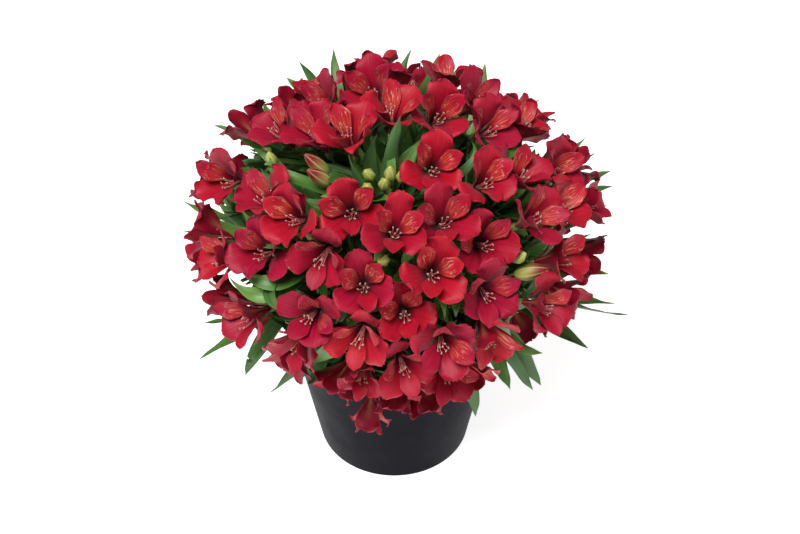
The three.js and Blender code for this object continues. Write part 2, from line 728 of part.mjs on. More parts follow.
// The pot: a plain tapered wall with a lip and a flat base with drain holes
function potSolid(grown) {
  const lipFoot = POT_HEIGHT - LIP_HEIGHT;
  const slope = (POT_TOP_RADIUS - POT_BASE_RADIUS) / POT_HEIGHT;
  const wallAt = (height) => POT_BASE_RADIUS + slope * height;
  const profile = [
    [0, -grown],
    [POT_BASE_RADIUS + grown, -grown],
    [wallAt(lipFoot) + grown, lipFoot - grown],
    [wallAt(lipFoot) + LIP_PROUD + grown, lipFoot - grown],
    [POT_TOP_RADIUS + LIP_PROUD + grown, POT_HEIGHT + grown],
    [POT_TOP_RADIUS - POT_WALL - grown, POT_HEIGHT + grown],
    [wallAt(POT_FLOOR) - POT_WALL - grown, POT_FLOOR + grown],
    [0, POT_FLOOR + grown],
  ];
  const points = profile.map(([radius, height]) => new THREE.Vector2(radius, height));
  const geometry = new THREE.LatheGeometry(points, POT_SIDES);
  const wall = toSolid(geometry.rotateX(Math.PI / 2));
  const drains = [];
  for (let i = 0; i < DRAIN_COUNT; i += 1) {
    const drain = new THREE.CylinderGeometry(DRAIN_RADIUS, DRAIN_RADIUS, 4 * POT_FLOOR, 6);
    drain.rotateX(Math.PI / 2);
    const centre = direction((360 * i) / DRAIN_COUNT, 0).multiplyScalar(DRAIN_CIRCLE);
    drains.push(toSolid(drain.translate(centre.x, centre.y, 0)));
  }
  return grown ? wall : wall.subtract(joined(drains));
}

// The soil fills the pot to below its lip, rough on top, with a hole for each stem
function soilSolid(stems) {
  const slope = (POT_TOP_RADIUS - POT_BASE_RADIUS) / POT_HEIGHT;
  const fill = (height) => POT_BASE_RADIUS + slope * height - POT_WALL - FIT_GAP;
  const bottom = POT_FLOOR + FIT_GAP;
  const profile = [
    [0, bottom], [fill(bottom), bottom], [fill(SOIL_TOP - 2 * SOIL_ROUGH), SOIL_TOP],
    [SOIL_INNER_RING * fill(SOIL_TOP), SOIL_TOP], [0, SOIL_TOP],
  ];
  const points = profile.map(([radius, height]) => new THREE.Vector2(radius, height));
  const geometry = new THREE.LatheGeometry(points, SOIL_SIDES).rotateX(Math.PI / 2);
  const position = geometry.attributes.position;
  for (let i = 0; i < position.count; i += 1) {
    const [x, y, z] = [position.getX(i), position.getY(i), position.getZ(i)];
    if (z > SOIL_TOP - 1) {
      position.setZ(i, z + SOIL_ROUGH * (Math.sin(x / 9) * Math.cos(y / 7) - 1));
    }
  }
  const holes = stems.map((stem) => {
    const bore = stem.radius + FIT_GAP / Math.cos(Math.PI / stem.sides);
    const foot = stem.root.clone().setZ(SOIL_TOP - HOLE_DEPTH);
    const top = stem.root.clone().setZ(SOIL_TOP + 5);
    return tubeSolid([foot, top], [bore, bore], stem.sides, 0);
  });
  return toSolid(geometry).subtract(joined(holes)).asOriginal().simplify(SMOOTHING);
}

function node(name, solid, colour, roughness, origin) {
  const mesh = solid.getMesh();
  const geometry = new THREE.BufferGeometry();
  geometry.setAttribute('position', new THREE.BufferAttribute(mesh.vertProperties, 3));
  geometry.setIndex(new THREE.BufferAttribute(mesh.triVerts, 1));
  geometry.translate(-origin.x, -origin.y, -origin.z);
  const material = new THREE.MeshStandardMaterial({ color: colour, roughness, metalness: 0 });
  const piece = new THREE.Mesh(geometry, material);
  piece.name = name;
  piece.position.copy(origin);
  return piece;
}

// Everything that has its place, with the stem that owns it and the room that it takes.
// A bare room leaves out what grows together with its own stem.
const taken = [];

function take(owner, room, bare) {
  taken.push({ owner, room, bare });
}

// Of the ways to stand, the first that overlaps nothing, or the one that overlaps least
function choose(owner, ways, roomOf, bareOf) {
  let best = null;
  for (const way of ways) {
    const room = roomOf(way);
    const bare = bareOf(way, room);
    const hits = [];
    let clash = 0;
    for (const entry of taken) {
      const own = entry.owner === owner;
      const [mine, theirs] = own ? [bare, entry.bare] : [room, entry.room];
      if (theirs && near(mine, theirs)) {
        const overlap = mine.intersect(theirs).volume();
        clash += overlap;
        if (overlap > 0 && !own) {
          hits.push(theirs);
        }
      }
    }
    if (best === null || clash < best.clash) {
      best = { way, room, bare, hits, clash };
    }
    if (clash === 0) {
      break;
    }
  }
  return best;
}

// Fuses what a stem carries, clears what still overlaps and drops loose scraps
function fused(stem, parts) {
  const whole = joined([stemSolid(stem, 0), ...parts]);
  return largestFirst(whole)[0].asOriginal().simplify(SMOOTHING);
}

const trimmed = (solid, choice) => (
  choice.hits.length ? solid.subtract(joined(choice.hits)) : solid);
const sameRoom = (way, room) => room;
const bladeRoom = (way) => bladeSolid(way, FIT_GAP);

const blooms = layBlooms();
const heads = layHeads(blooms).filter((head) => head.blooms.length);
const stems = heads.map(layStem);
const shoots = SHOOTS.map(layShoot);
settleRoots([...stems, ...shoots]);

take(null, potSolid(FIT_GAP), null);
for (const stem of [...stems, ...shoots]) {
  take(stem, stemSolid(stem, FIT_GAP), null);
}
stems.forEach(startRays);

shoots.forEach((stem, index) => {
  stem.parts = stem.shoot.tips.map((_, leaf) => {
    const choice = choose(stem, shootBladeWays(stem, index, leaf), bladeRoom, sameRoom);
    take(stem, choice.room, choice.bare);
    return trimmed(bladeSolid(choice.way, 0), choice);
  });
});

stems.forEach((stem) => { stem.parts = []; });
for (const bloom of blooms) {
  const stem = stems.find((candidate) => candidate.head.blooms.includes(bloom));
  const choice = choose(stem, bloomWays(bloom), (way) => flowerSolid(way, FIT_GAP),
    (way) => flowerSolid(way, FIT_GAP, true));
  take(stem, choice.room, choice.bare);
  stem.parts.push(trimmed(flowerSolid(choice.way, 0), choice));
}

stems.forEach((stem, index) => {
  for (const bud of stem.head.buds) {
    const choice = choose(stem, budWays(bud), (way) => budSolid(way, FIT_GAP), sameRoom);
    if (choice.clash === 0) {
      take(stem, choice.room, choice.bare);
      stem.parts.push(budSolid(choice.way, 0));
    }
  }
  for (let leaf = 0; leaf < STEM_LEAVES; leaf += 1) {
    const choice = choose(stem, stemBladeWays(stem, index, leaf), bladeRoom, sameRoom);
    if (choice.clash === 0) {
      take(stem, choice.room, choice.bare);
      stem.parts.push(bladeSolid(choice.way, 0));
    }
  }
});

const part = new THREE.Group();
const label = (name, index) => `${name}_${String(index + 1).padStart(2, '0')}`;
part.add(node('pot', potSolid(0), BLACK, 0.45, new THREE.Vector3()));
part.add(node('soil', soilSolid([...stems, ...shoots]), BROWN, 0.95, new THREE.Vector3()));
stems.forEach((stem, index) => {
  const solid = fused(stem, stem.parts);
  part.add(node(label('flower_stem', index), solid, CRIMSON, 0.55, stem.root));
});
shoots.forEach((stem, index) => {
  const solid = fused(stem, stem.parts);
  part.add(node(label('leafy_shoot', index), solid, GREEN, 0.6, stem.root));
});

export default part;
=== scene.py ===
"""A potted Peruvian lily in full bloom: its crimson blooms with streaked inner tepals,
stems, leaves and buds, its black plastic pot and the soil in it, and a plain studio.

Places are worked out in millimetres from the same few sizes as the plant's solids,
with +Z up and the origin at the centre of the pot's base. Bearings are degrees about
+Z, 0 at the front (-Y) and positive towards +X; climbs are degrees above the
horizontal. A mesh is written in metres.
"""

import math
from types import SimpleNamespace

import bmesh
import bpy
from bpy.props import FloatProperty, FloatVectorProperty, IntProperty, PointerProperty
from mathutils import Matrix, Quaternion, Vector, noise
from mathutils.kdtree import KDTree


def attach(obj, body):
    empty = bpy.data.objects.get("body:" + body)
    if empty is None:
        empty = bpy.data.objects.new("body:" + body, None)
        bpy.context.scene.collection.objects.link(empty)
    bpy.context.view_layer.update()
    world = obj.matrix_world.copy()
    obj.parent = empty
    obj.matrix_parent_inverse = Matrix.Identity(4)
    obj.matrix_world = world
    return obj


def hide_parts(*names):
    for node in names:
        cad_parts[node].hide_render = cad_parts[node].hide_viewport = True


bl_info = {
    "name": "Potted Peruvian Lily",
    "version": (1, 0, 0),
    "blender": (4, 5, 0),
    "location": "3D View > Sidebar > Lily",
    "description": "Dresses a potted Peruvian lily with fine blooms, leaves, pot and soil",
    "category": "Object",
}

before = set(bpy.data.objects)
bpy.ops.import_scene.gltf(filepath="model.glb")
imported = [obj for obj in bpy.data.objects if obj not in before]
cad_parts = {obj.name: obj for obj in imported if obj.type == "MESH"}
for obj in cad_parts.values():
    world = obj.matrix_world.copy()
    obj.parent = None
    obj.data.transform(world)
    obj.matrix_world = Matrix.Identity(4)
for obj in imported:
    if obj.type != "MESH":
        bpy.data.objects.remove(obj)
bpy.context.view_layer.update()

MM = 0.001
FINISH = "lily_"

# The pot and the soil, in millimetres
POT_HEIGHT = 145
POT_BASE_RADIUS = 72.5
POT_TOP_RADIUS = 95.8
POT_WALL = 2.4
POT_FLOOR = 3
LIP_PROUD = 2.2
LIP_HEIGHT = 11
DRAIN_COUNT = 4
DRAIN_RADIUS = 4.5
DRAIN_CIRCLE = 50
SOIL_TOP = 127
FIT_GAP = 0.4
ROOT_SPREAD = 76

# The dome of blooms, the skirt where it tucks in towards the pot, and how fast its
# back shoulder falls away
DOME_CENTRE_X = 2.3
DOME_CENTRE_Z = 227
DOME_RADIUS = 173
DOME_RISE = 145
SKIRT_FROM = 12
SKIRT_IN = 2.4
SKIRT_DOWN = 2.05
SKIRT_DROOP = 2
BACK_FALL = 0.2

# Blooms, rays, leaves and buds
BLOOM_SPACING = 37
BLOOM_SETTLE_STEPS = 14
BLOOM_FACE = 25
BLOOM_LEVELS = (0, 5, -5, 9, -9, 13)
BLOOM_TURNS = (0, 30, -30)
SHUT_SPREAD = 0.62
SHUT_LENGTHEN = 0.3
SHUT_NARROW = 0.3
OVARY_LENGTH = 8
KNOT_DROP = 30
KNOT_BEHIND = 0.6
STEM_BEND = 0.6
COLLAR_RISE = 6
RAY_STEP = 0.028
BUD_LENGTH = 15
BUD_RADIUS = 4.4
BUD_LEVELS = (0, 4, -4, 8, -8)
LEAF_HALF = 7
LEAF_FOLD = 0.22
LEAF_ARCH = 0.16
LEAF_SWINGS = (0, 5, -5, 10, -10, 15, -15)
LEAF_ROLLS = (0, 35, -35)
LEAF_TRIES = 7
LEAF_STEP = 0.17
STEM_LEAVES = 2
STEM_LEAF_LENGTH = 46
STEM_LEAF_RISE = 22
STEM_LEAF_DROOP = 0.2
SHOOT_LEAF_STEP = 0.07
HEAD_COUNT = 20
HEAD_ROUNDS = 6
LOWEST_HEAD = -8
GOLDEN_TURN = 137.508
ROOT_SPACING = 13
ROOT_SETTLE_STEPS = 12
SETTLE_SHARE = 0.3
FACE_SWAY = 9
SIZE_SWAY = 0.05
ROLL_SWAY = 22
BLOOM_STEM_RADIUS = 2.2
SHOOT_STEM_RADIUS = 1.8
STEM_SINK = 8
BLOOM_RAY_RADIUS = 1.1
BUD_RAY_RADIUS = 1

# The funnel before a bloom's foot that leaves and buds keep out of
FUNNEL_FROM = 3
FUNNEL_TO = 58
FUNNEL_NECK = 4
FUNNEL_SPREAD = 22
FUNNEL_HEIGHT = 32
FUNNEL_FLARE = 1.5

# How far a piece may lie from the solid's corners to count as found there
MOST_MISS = 3
SURE_MISS = 0.8

# The leaves inside the dome: where on a stem they grow, how deep their tips lie, how
# far these reach from the stem, and the same for the leaves that show in gaps
INNER_LEAVES = 1300
INNER_SHARES = (0.2, 0.32, 0.44, 0.56, 0.68, 0.8, 0.92)
INNER_DEPTH = (14, 38)
INNER_REACH = (44, 22)
INNER_LEAST_RISE = 0.25
INNER_ARCH = 0.12
LOWEST_INNER = -24
GAP_LEAF_TIP = 3
GAP_LEAF_BASE = 16
LEAF_PATH = (0.4, 0.55, 0.7, 0.85, 1)

# Round pieces, the drain holes' clear border, and the peat with its bits of bark
POT_STEPS = 128
SOIL_STEPS = 96
HOLE_STEPS = 24
FLOOR_FROM = DRAIN_CIRCLE + 3 * DRAIN_RADIUS
BEVEL_FROM = 1.3 * DRAIN_CIRCLE
EDGE_BEVEL = 0.7
SHARP = math.radians(30)
PEAT_RINGS = 26
PEAT_DROP = 1.6
BARK_COUNT = 240

# The stage, in metres and watts
FLOOR_RADIUS = 8
MIDDLE = Vector((0.0056, 0, 0.197))
KEY_PLACE = Vector((-0.45, -0.85, 1.95))
KEY_SIZE = 1.1
FILL_PLACE = Vector((1.3, -0.9, 1.0))
FILL_SIZE = 1.4
FILL_SHARE = 0.1

# Each bloom: its place on the dome as bearing and climb and, where it doesn't face
# straight out, the bearing and climb that it faces. A fifth value below 1 is a bloom
# that is only part open.
FRONT_BLOOMS = (
    # The crown
    (180, 66), (-115, 79, -20, 55), (-95, 72, -45, 45), (-65, 67), (-82, 60, -70, 60),
    (-35, 70, -30, 75), (45, 77, 20, 50), (5, 79, 0, 80), (105, 67, 60, 50),
    (72, 64, 40, 45), (92, 54), (-112, 40, -140, 30),
    # The left shoulder
    (-77, 37, -30, 35), (-71, 22, -90, 20), (-50, 44), (-40, 43), (-44, 33, -25, 40),
    (-57, 21), (-58, 8, -95, 5, 0.6),
    # The middle
    (-16, 48, -5, 42), (-20, 38, -15, 15), (20, 58, 10, 42), (15, 48), (7, 44), (6, 34),
    (27, 39, 20, 38), (-10, 27), (-11, 19), (4, 26, 0, 38), (24, 21, 15, 30),
    (20, 13, 20, -15),
    # The right shoulder
    (40, 54, 30, 48), (57, 46), (73, 40, 50, 35), (90, 31, 120, 30), (84, 26), (63, 37),
    (50, 42), (55, 25), (44, 14), (55, 10), (62, 3),
    # The skirt
    (-43, 7), (-36, 4, -36, -25), (-20, 16, -10, 30), (-28, 9), (9, 14),
    (18, 5, 12, 25), (28, -5, 40, -35), (-6, 7, -6, 0, 0.6), (1, 8), (-17, -6, -40, -30),
    (-9, -10, -10, -60, 0.6), (0, -9, 0, -55, 0.75), (8, -8, 15, -50, 0.7),
)

# The back and the far sides, in rings: climb, first bearing, last bearing, count
BACK_RINGS = (
    (56, 150, 224, 3),
    (38, 120, 222, 5),
    (20, 114, 255, 7),
    (3, 88, 268, 9),
    (-9, 84, 272, 6),
)

# Single buds that stand among the blooms, by the bearing and climb of the tip. A long
# one also has its length and the bearing and climb that it points to.
BUDS = (
    (-16, 62), (-13, 58), (-3, 64), (3, 62), (-5, 60), (-31, 43), (-5, 38), (41, 32),
    (-10, 9), (-32, 32), (-37, 37), (-3, 33), (-52, 60, 27, -80, 50),
    (-44, 57, 25, -70, 45), (47, 24, 27, 85, 15), (152, 60, 19, 160, 75), (-70, 53),
    (165, 72), (-150, 48), (120, 8), (70, 30),
)
RIPE_BUDS = (10, 11, 12, 13, 14, 15, 17, 20)

# Leaves seen in the gaps between the blooms: the bearing and climb of the tip, of the
# place where the leaf comes out under the blooms, and the half width
GAP_LEAVES = (
    (-8, 53, -33, 60, 8), (5, 54, -8, 57, 5), (-8, 76, -3, 66, 4), (-42, 76, -16, 68, 6),
    (-20, 80, -16, 70, 5), (55, 69, 37, 62, 5), (55, 66, 40, 61, 4), (83, 49, 56, 57, 6),
    (75, 51, 52, 56, 5), (-57, 54, -74, 52, 5), (-79, 48, -68, 52, 5), (-22, 29, -15, 34, 3),
    (-9, 37, -8, 31, 3), (-29, 18, -39, 23, 8), (-41, 25, -31, 25, 6), (16, 21, 16, 29, 8),
    (13, 21, 13, 28, 4), (-35, -5, -16, 9, 9), (-14, 2, -23, 5, 9), (-4, -7, -3, 3, 8),
    (45, -4, 28, 15, 5), (14, 43, 20, 49, 6), (12, 45, 17, 51, 5), (6, 44, 4, 38, 6),
    (-39, 50, -27, 52, 7), (-1, 42, -7, 45, 6), (24, 29, 17, 33, 7), (-29, 34, -23, 37, 6),
    (-52, 18, -38, 20, 8), (-49, 23, -36, 25, 8), (-46, 16, -33, 18, 8), (-54, 44, -39, 45, 6),
    (-68, 28, -50, 33, 7), (68, 14, 53, 18, 7), (60, 12, 50, 15, 7), (-65, 50, -48, 55, 6),
)

# Leafy shoots: the bearing and climb of each, how far its top stays under the dome,
# and the tip of each leaf by bearing, distance from the plant's axis and height
SHOOTS = (
    ((-120, 34), 44, ((-116, 178, 294), (-122, 162, 300), (-132, 160, 300))),
    ((-147, 44), 46, ((-139, 148, 322), (-145, 150, 331), (-157, 142, 340), (-150, 162, 298))),
    ((176, 52), 46, ((184, 126, 336), (174, 130, 340), (163, 134, 337), (180, 152, 305))),
    ((138, 42), 46, ((147, 144, 331), (127, 158, 309), (137, 162, 298))),
    ((108, 18), 46, ((113, 180, 286), (109, 184, 277), (104, 193, 267), (101, 192, 258),
                     (118, 182, 250))),
    ((92, 0), 44, ((98, 186, 247), (91, 184, 231), (83, 184, 208), (102, 180, 205))),
    ((72, -4), 42, ((78, 192, 190), (84, 208, 160), (66, 178, 168))),
    ((50, -4), 40, ((62, 144, 118), (55, 144, 128), (50, 156, 190), (44, 138, 146))),
    ((33, -8), 36, ((41, 107, 92), (30, 122, 138))),
    ((-62, -4), 42, ((-62, 186, 170), (-66, 146, 122), (-58, 152, 148), (-75, 172, 172))),
    ((-40, -8), 36, ((-43, 118, 146), (-35, 128, 158), (-51, 140, 130))),
    ((-94, 6), 44, ((-98, 187, 250), (-92, 184, 232), (-86, 174, 214), (-105, 182, 218))),
    ((-8, 61), 42, ((4, 52, 386), (-12, 64, 377), (-24, 84, 370), (12, 92, 346))),
    ((150, -2), 40, ((150, 176, 205), (141, 170, 166), (158, 164, 158))),
    ((-150, 0), 40, ((-150, 178, 210), (-161, 165, 160), (-140, 165, 152))),
    ((171, 14), 48, ((178, 183, 262), (170, 177, 230), (189, 176, 200), (182, 152, 142))),
)

UP = Vector((0, 0, 1))
PICTURE_UP = Vector((0, 0.35, 1)).normalized()


def draw(*keys):
    """A fixed draw from 0 to 1 for a set of whole numbers."""
    mixed = 2166136261
    for key in keys:
        mixed = ((mixed ^ (key + 1013)) * 16777619) & 0xFFFFFFFF
        mixed ^= mixed >> 13
        mixed = (mixed * 0x5BD1E995) & 0xFFFFFFFF
        mixed ^= mixed >> 15
    return mixed / 4294967296


def sway(size, *keys):
    """A fixed draw from -size to size."""
    return size * (2 * draw(*keys) - 1)


def smooth(low, high, value):
    """0 below low, 1 above high and a smooth rise between."""
    share = min(1, max(0, (value - low) / (high - low)))
    return share * share * (3 - 2 * share)


def direction(bearing, climb):
    b, c = math.radians(bearing), math.radians(climb)
    return Vector((math.sin(b) * math.cos(c), -math.cos(b) * math.cos(c), math.sin(c)))


def skirt(climb):
    """How far a place on the dome lies below the start of the skirt, in degrees."""
    return max(0, SKIRT_FROM - climb)


def outward(bearing, climb):
    """The way that a bloom there faces if nothing turns it."""
    c = math.radians(climb)
    slope = math.atan2(math.sin(c) * DOME_RADIUS, math.cos(c) * DOME_RISE)
    return direction(bearing, math.degrees(slope) - SKIRT_DROOP * skirt(climb))


def dome_point(bearing, climb, out=0):
    """A point on the dome, or a distance out of it."""
    c = math.radians(climb)
    point = direction(bearing, 0) * (DOME_RADIUS * math.cos(c) - SKIRT_IN * skirt(climb))
    point.z = DOME_CENTRE_Z + DOME_RISE * math.sin(c) - SKIRT_DOWN * skirt(climb)
    point.z -= BACK_FALL * max(0, point.y) * max(0, math.sin(c))
    point.x += DOME_CENTRE_X
    return point + out * outward(bearing, climb)


def root_point(bearing, climb):
    """Where a stem that ends there leaves the soil: high ones in the middle."""
    share = max(0, 1 - math.sin(math.radians(climb))) / 1.2
    point = direction(bearing, 0) * (ROOT_SPREAD * math.sqrt(share))
    point.z = SOIL_TOP
    return point


def dome_step(start, end):
    """The step from one place on the dome to another, in mm along it."""
    turn = end[0] - start[0]
    turn -= 360 * math.floor(turn / 360 + 0.5)
    middle = math.radians((start[1] + end[1]) / 2)
    across = math.radians(turn) * DOME_RADIUS * math.cos(middle)
    along = math.radians(end[1] - start[1]) * DOME_RISE
    return across, along, math.hypot(across, along)


def shift(thing, across, along):
    """Moves a thing along the dome by distances across and up it."""
    bearing, climb = thing.place
    girth = DOME_RADIUS * max(0.1, math.cos(math.radians(climb)))
    thing.place = (
        bearing + math.degrees(across / girth),
        climb + math.degrees(along / DOME_RISE),
    )


def settle(things, spacing, steps):
    """Pushes things apart on the dome until they keep a spacing."""
    for _ in range(steps):
        for i, thing in enumerate(things):
            for other in things[:i]:
                across, along, apart = dome_step(other.place, thing.place)
                if apart < spacing:
                    push = SETTLE_SHARE * (spacing - apart) / max(apart, 1)
                    shift(thing, across * push, along * push)
                    shift(other, -across * push, -along * push)


def bloom_foot(bloom, out):
    """Where a bloom's foot lies when its face stands out of the dome by a distance."""
    return dome_point(*bloom.place, out) - bloom.axis * (BLOOM_FACE * bloom.size)


def lay_blooms():
    """All the blooms of the plant, each with its foot, the way it faces and its size."""
    blooms = []
    for bearing, climb, *rest in FRONT_BLOOMS:
        blooms.append(SimpleNamespace(
            place=(bearing, climb),
            face=tuple(rest[:2]) or None,
            open=rest[2] if len(rest) > 2 else 1,
        ))
    for ring, (climb, first, last, count) in enumerate(BACK_RINGS):
        for i in range(count):
            bearing = first + (last - first) * i / (count - 1) + sway(4, ring, i, 1)
            place = (bearing, climb + sway(4, ring, i, 2))
            blooms.append(SimpleNamespace(place=place, face=None, open=1))
    settle(blooms, BLOOM_SPACING, BLOOM_SETTLE_STEPS)
    for i, bloom in enumerate(blooms):
        bearing, climb = bloom.place
        turned = (bearing + sway(FACE_SWAY, i, 3), climb + sway(FACE_SWAY, i, 4))
        bloom.axis = direction(*bloom.face) if bloom.face else outward(*turned)
        bloom.size = 1 + sway(SIZE_SWAY, i, 5)
        bloom.roll = math.radians(sway(ROLL_SWAY, i, 6))
        bloom.foot = bloom_foot(bloom, 0)
        bloom.number = i
    return blooms


def lay_heads(blooms):
    """Shares the blooms out to heads of near neighbours."""
    heads = []
    lowest = math.sin(math.radians(LOWEST_HEAD))
    for i in range(HEAD_COUNT):
        climb = math.degrees(math.asin(1 - (i + 0.5) / HEAD_COUNT * (1 - lowest)))
        heads.append(SimpleNamespace(place=(i * GOLDEN_TURN, climb), blooms=[], buds=[]))

    def nearest(place):
        return min(heads, key=lambda head: dome_step(head.place, place)[2])

    for _ in range(HEAD_ROUNDS):
        for head in heads:
            head.blooms = []
        for bloom in blooms:
            nearest(bloom.place).blooms.append(bloom)
        for head in heads:
            steps = [dome_step(head.place, bloom.place) for bloom in head.blooms]
            count = max(1, len(steps))
            shift(head, sum(s[0] for s in steps) / count, sum(s[1] for s in steps) / count)
    for i, (bearing, climb, *rest) in enumerate(BUDS):
        axis = outward(bearing + sway(20, i, 8), climb + sway(20, i, 9))
        bud = SimpleNamespace(
            place=(bearing, climb),
            axis=direction(*rest[1:]) if rest else axis,
            length=rest[0] if rest else BUD_LENGTH,
            number=i,
        )
        nearest(bud.place).buds.append(bud)
    return [head for head in heads if head.blooms]


def lay_stem(head):
    """The stem of a head: its knot lies behind the feet of the head's blooms."""
    feet, faces = Vector(), Vector()
    for bloom in head.blooms:
        feet += bloom.foot - bloom.axis * OVARY_LENGTH
        faces += bloom.axis
    feet /= len(head.blooms)
    root = root_point(*head.place)
    back = (feet - root).normalized().lerp(faces.normalized(), KNOT_BEHIND)
    knot = feet - back.normalized() * KNOT_DROP
    return SimpleNamespace(root=root, knot=knot, head=head, tips=())


def lay_shoot(row):
    at, under, tips = row
    return SimpleNamespace(
        root=root_point(*at), knot=dome_point(*at, -under), head=None, at=at, tips=tips
    )


def settle_roots(stems):
    """Keeps the roots of neighbouring stems apart in the soil."""
    for _ in range(ROOT_SETTLE_STEPS):
        for i, stem in enumerate(stems):
            for other in stems[:i]:
                apart = stem.root - other.root
                short = ROOT_SPACING - apart.length
                if short > 0:
                    push = apart.normalized() * (short / 2)
                    stem.root += push
                    other.root -= push


def arc(start, bend, end):
    """A curve from start to end over a bend, as a function of the share of its way."""
    def point(share):
        rest = 1 - share
        return start * rest * rest + bend * (2 * rest * share) + end * share * share
    return point


def heading(curve, share):
    return (curve(min(1, share + 1e-3)) - curve(max(0, share - 1e-3))).normalized()


def stem_curve(stem):
    collar = stem.root.copy()
    collar.z = SOIL_TOP + COLLAR_RISE
    bend = stem.root.copy()
    bend.z = collar.z + (stem.knot.z - collar.z) * STEM_BEND
    return arc(collar, bend, stem.knot)


def blade_face(point):
    """The upper side of a leaf looks up and in towards the plant's axis."""
    return (Vector((-point.x, -point.y, 0)).normalized() * 0.7 + UP).normalized()


def facing(origin, axis, roll):
    """The frame of a thing that faces an axis: its X is the top of its face."""
    top = (PICTURE_UP - axis * PICTURE_UP.dot(axis)).normalized()
    top.rotate(Quaternion(axis, roll))
    side = axis.cross(top)
    return Matrix((
        (top.x, side.x, axis.x, origin.x),
        (top.y, side.y, axis.y, origin.y),
        (top.z, side.z, axis.z, origin.z),
        (0, 0, 0, 1),
    ))


def bloom_ways(bloom):
    return [
        SimpleNamespace(foot=bloom_foot(bloom, out), roll=bloom.roll + math.radians(turn))
        for out in BLOOM_LEVELS
        for turn in BLOOM_TURNS
    ]


def bud_ways(bud):
    return [SimpleNamespace(tip=dome_point(*bud.place, out)) for out in BUD_LEVELS]


def shoot_leaf_ways(stem, index, leaf):
    """The ways that a shoot's leaf can arch from the stem to its own tip."""
    bearing, reach, height = stem.tips[leaf]
    tip = direction(bearing, 0) * reach
    tip.x += DOME_CENTRE_X
    tip.z = height
    foot = stem_curve(stem)(1 - SHOOT_LEAF_STEP * (leaf + 0.4))
    arch = outward(*stem.at)
    swing = arch.cross(tip - foot).normalized()
    half = LEAF_HALF * (1 + sway(0.15, index, leaf, 11))
    ways = []
    for offset in LEAF_SWINGS:
        for roll in LEAF_ROLLS:
            bend = (foot + tip) / 2 + arch * (LEAF_ARCH * (tip - foot).length)
            bend += swing * offset
            twist = math.radians(sway(20, index, leaf, 12) + roll)
            ways.append(SimpleNamespace(
                foot=foot, bend=bend, tip=tip, face=blade_face(bend), twist=twist, half=half,
                rings=((0.35, half), (0.72, 0.82 * half)),
            ))
    return ways


def stem_leaf_ways(stem, index, leaf):
    """The ways that a leaf of a flowering stem can turn round it."""
    curve = stem_curve(stem)
    rays = len(stem.head.blooms) + len(stem.head.buds)
    share = 1 - RAY_STEP * rays - LEAF_STEP * (leaf + 0.3)
    foot = curve(share)
    length = STEM_LEAF_LENGTH * (1 + 0.1 * leaf + sway(0.1, index, leaf, 14))
    rise = STEM_LEAF_RISE + sway(14, index, leaf, 13)
    half = 0.85 * LEAF_HALF
    ways = []
    for attempt in range(LEAF_TRIES):
        turn = leaf * GOLDEN_TURN + index * 40 + 360 * attempt / LEAF_TRIES
        aim = (direction(turn, rise) + heading(curve, share) * 0.3).normalized()
        bend = foot + aim * (0.55 * length)
        tip = foot + aim * length - UP * (STEM_LEAF_DROOP * length)
        twist = math.radians(sway(25, index, leaf, 15))
        ways.append(SimpleNamespace(
            foot=foot, bend=bend, tip=tip, face=blade_face(bend), twist=twist, half=half,
            rings=((0.45, half),),
        ))
    return ways


def leaf_side(leaf, curve, share):
    """The way across a leaf, at a share of its length."""
    along = heading(curve, share)
    side = leaf.face.cross(along).normalized()
    side.rotate(Quaternion(along, leaf.twist * share))
    return along, side


def leaf_marks(leaf):
    """Points of a leaf's outline."""
    curve = arc(leaf.foot, leaf.bend, leaf.tip)
    marks = [leaf.tip]
    for share, half in leaf.rings:
        along, side = leaf_side(leaf, curve, share)
        lift = along.cross(side) * (LEAF_FOLD * half)
        marks += [curve(share) + side * half + lift, curve(share) - side * half + lift]
    return marks


def bud_marks(bud):
    return [bud.tip]


def found(node, ways, marks):
    """The way that the plant's solid took, by how near its corners lie to each, with
    the mean distance to them."""
    corners = node_corners(node)
    scores = []
    for way in ways:
        points = marks(way)
        misses = [min(MOST_MISS, corners.find(point * MM)[2] / MM) for point in points]
        scores.append(sum(misses) / len(misses))
    best = min(range(len(ways)), key=scores.__getitem__)
    return ways[best], scores[best]


corner_trees = {}


def node_corners(node):
    if node not in corner_trees:
        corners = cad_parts[node].data.vertices
        tree = KDTree(len(corners))
        for i, corner in enumerate(corners):
            tree.insert(corner.co, i)
        tree.balance()
        corner_trees[node] = tree
    return corner_trees[node]


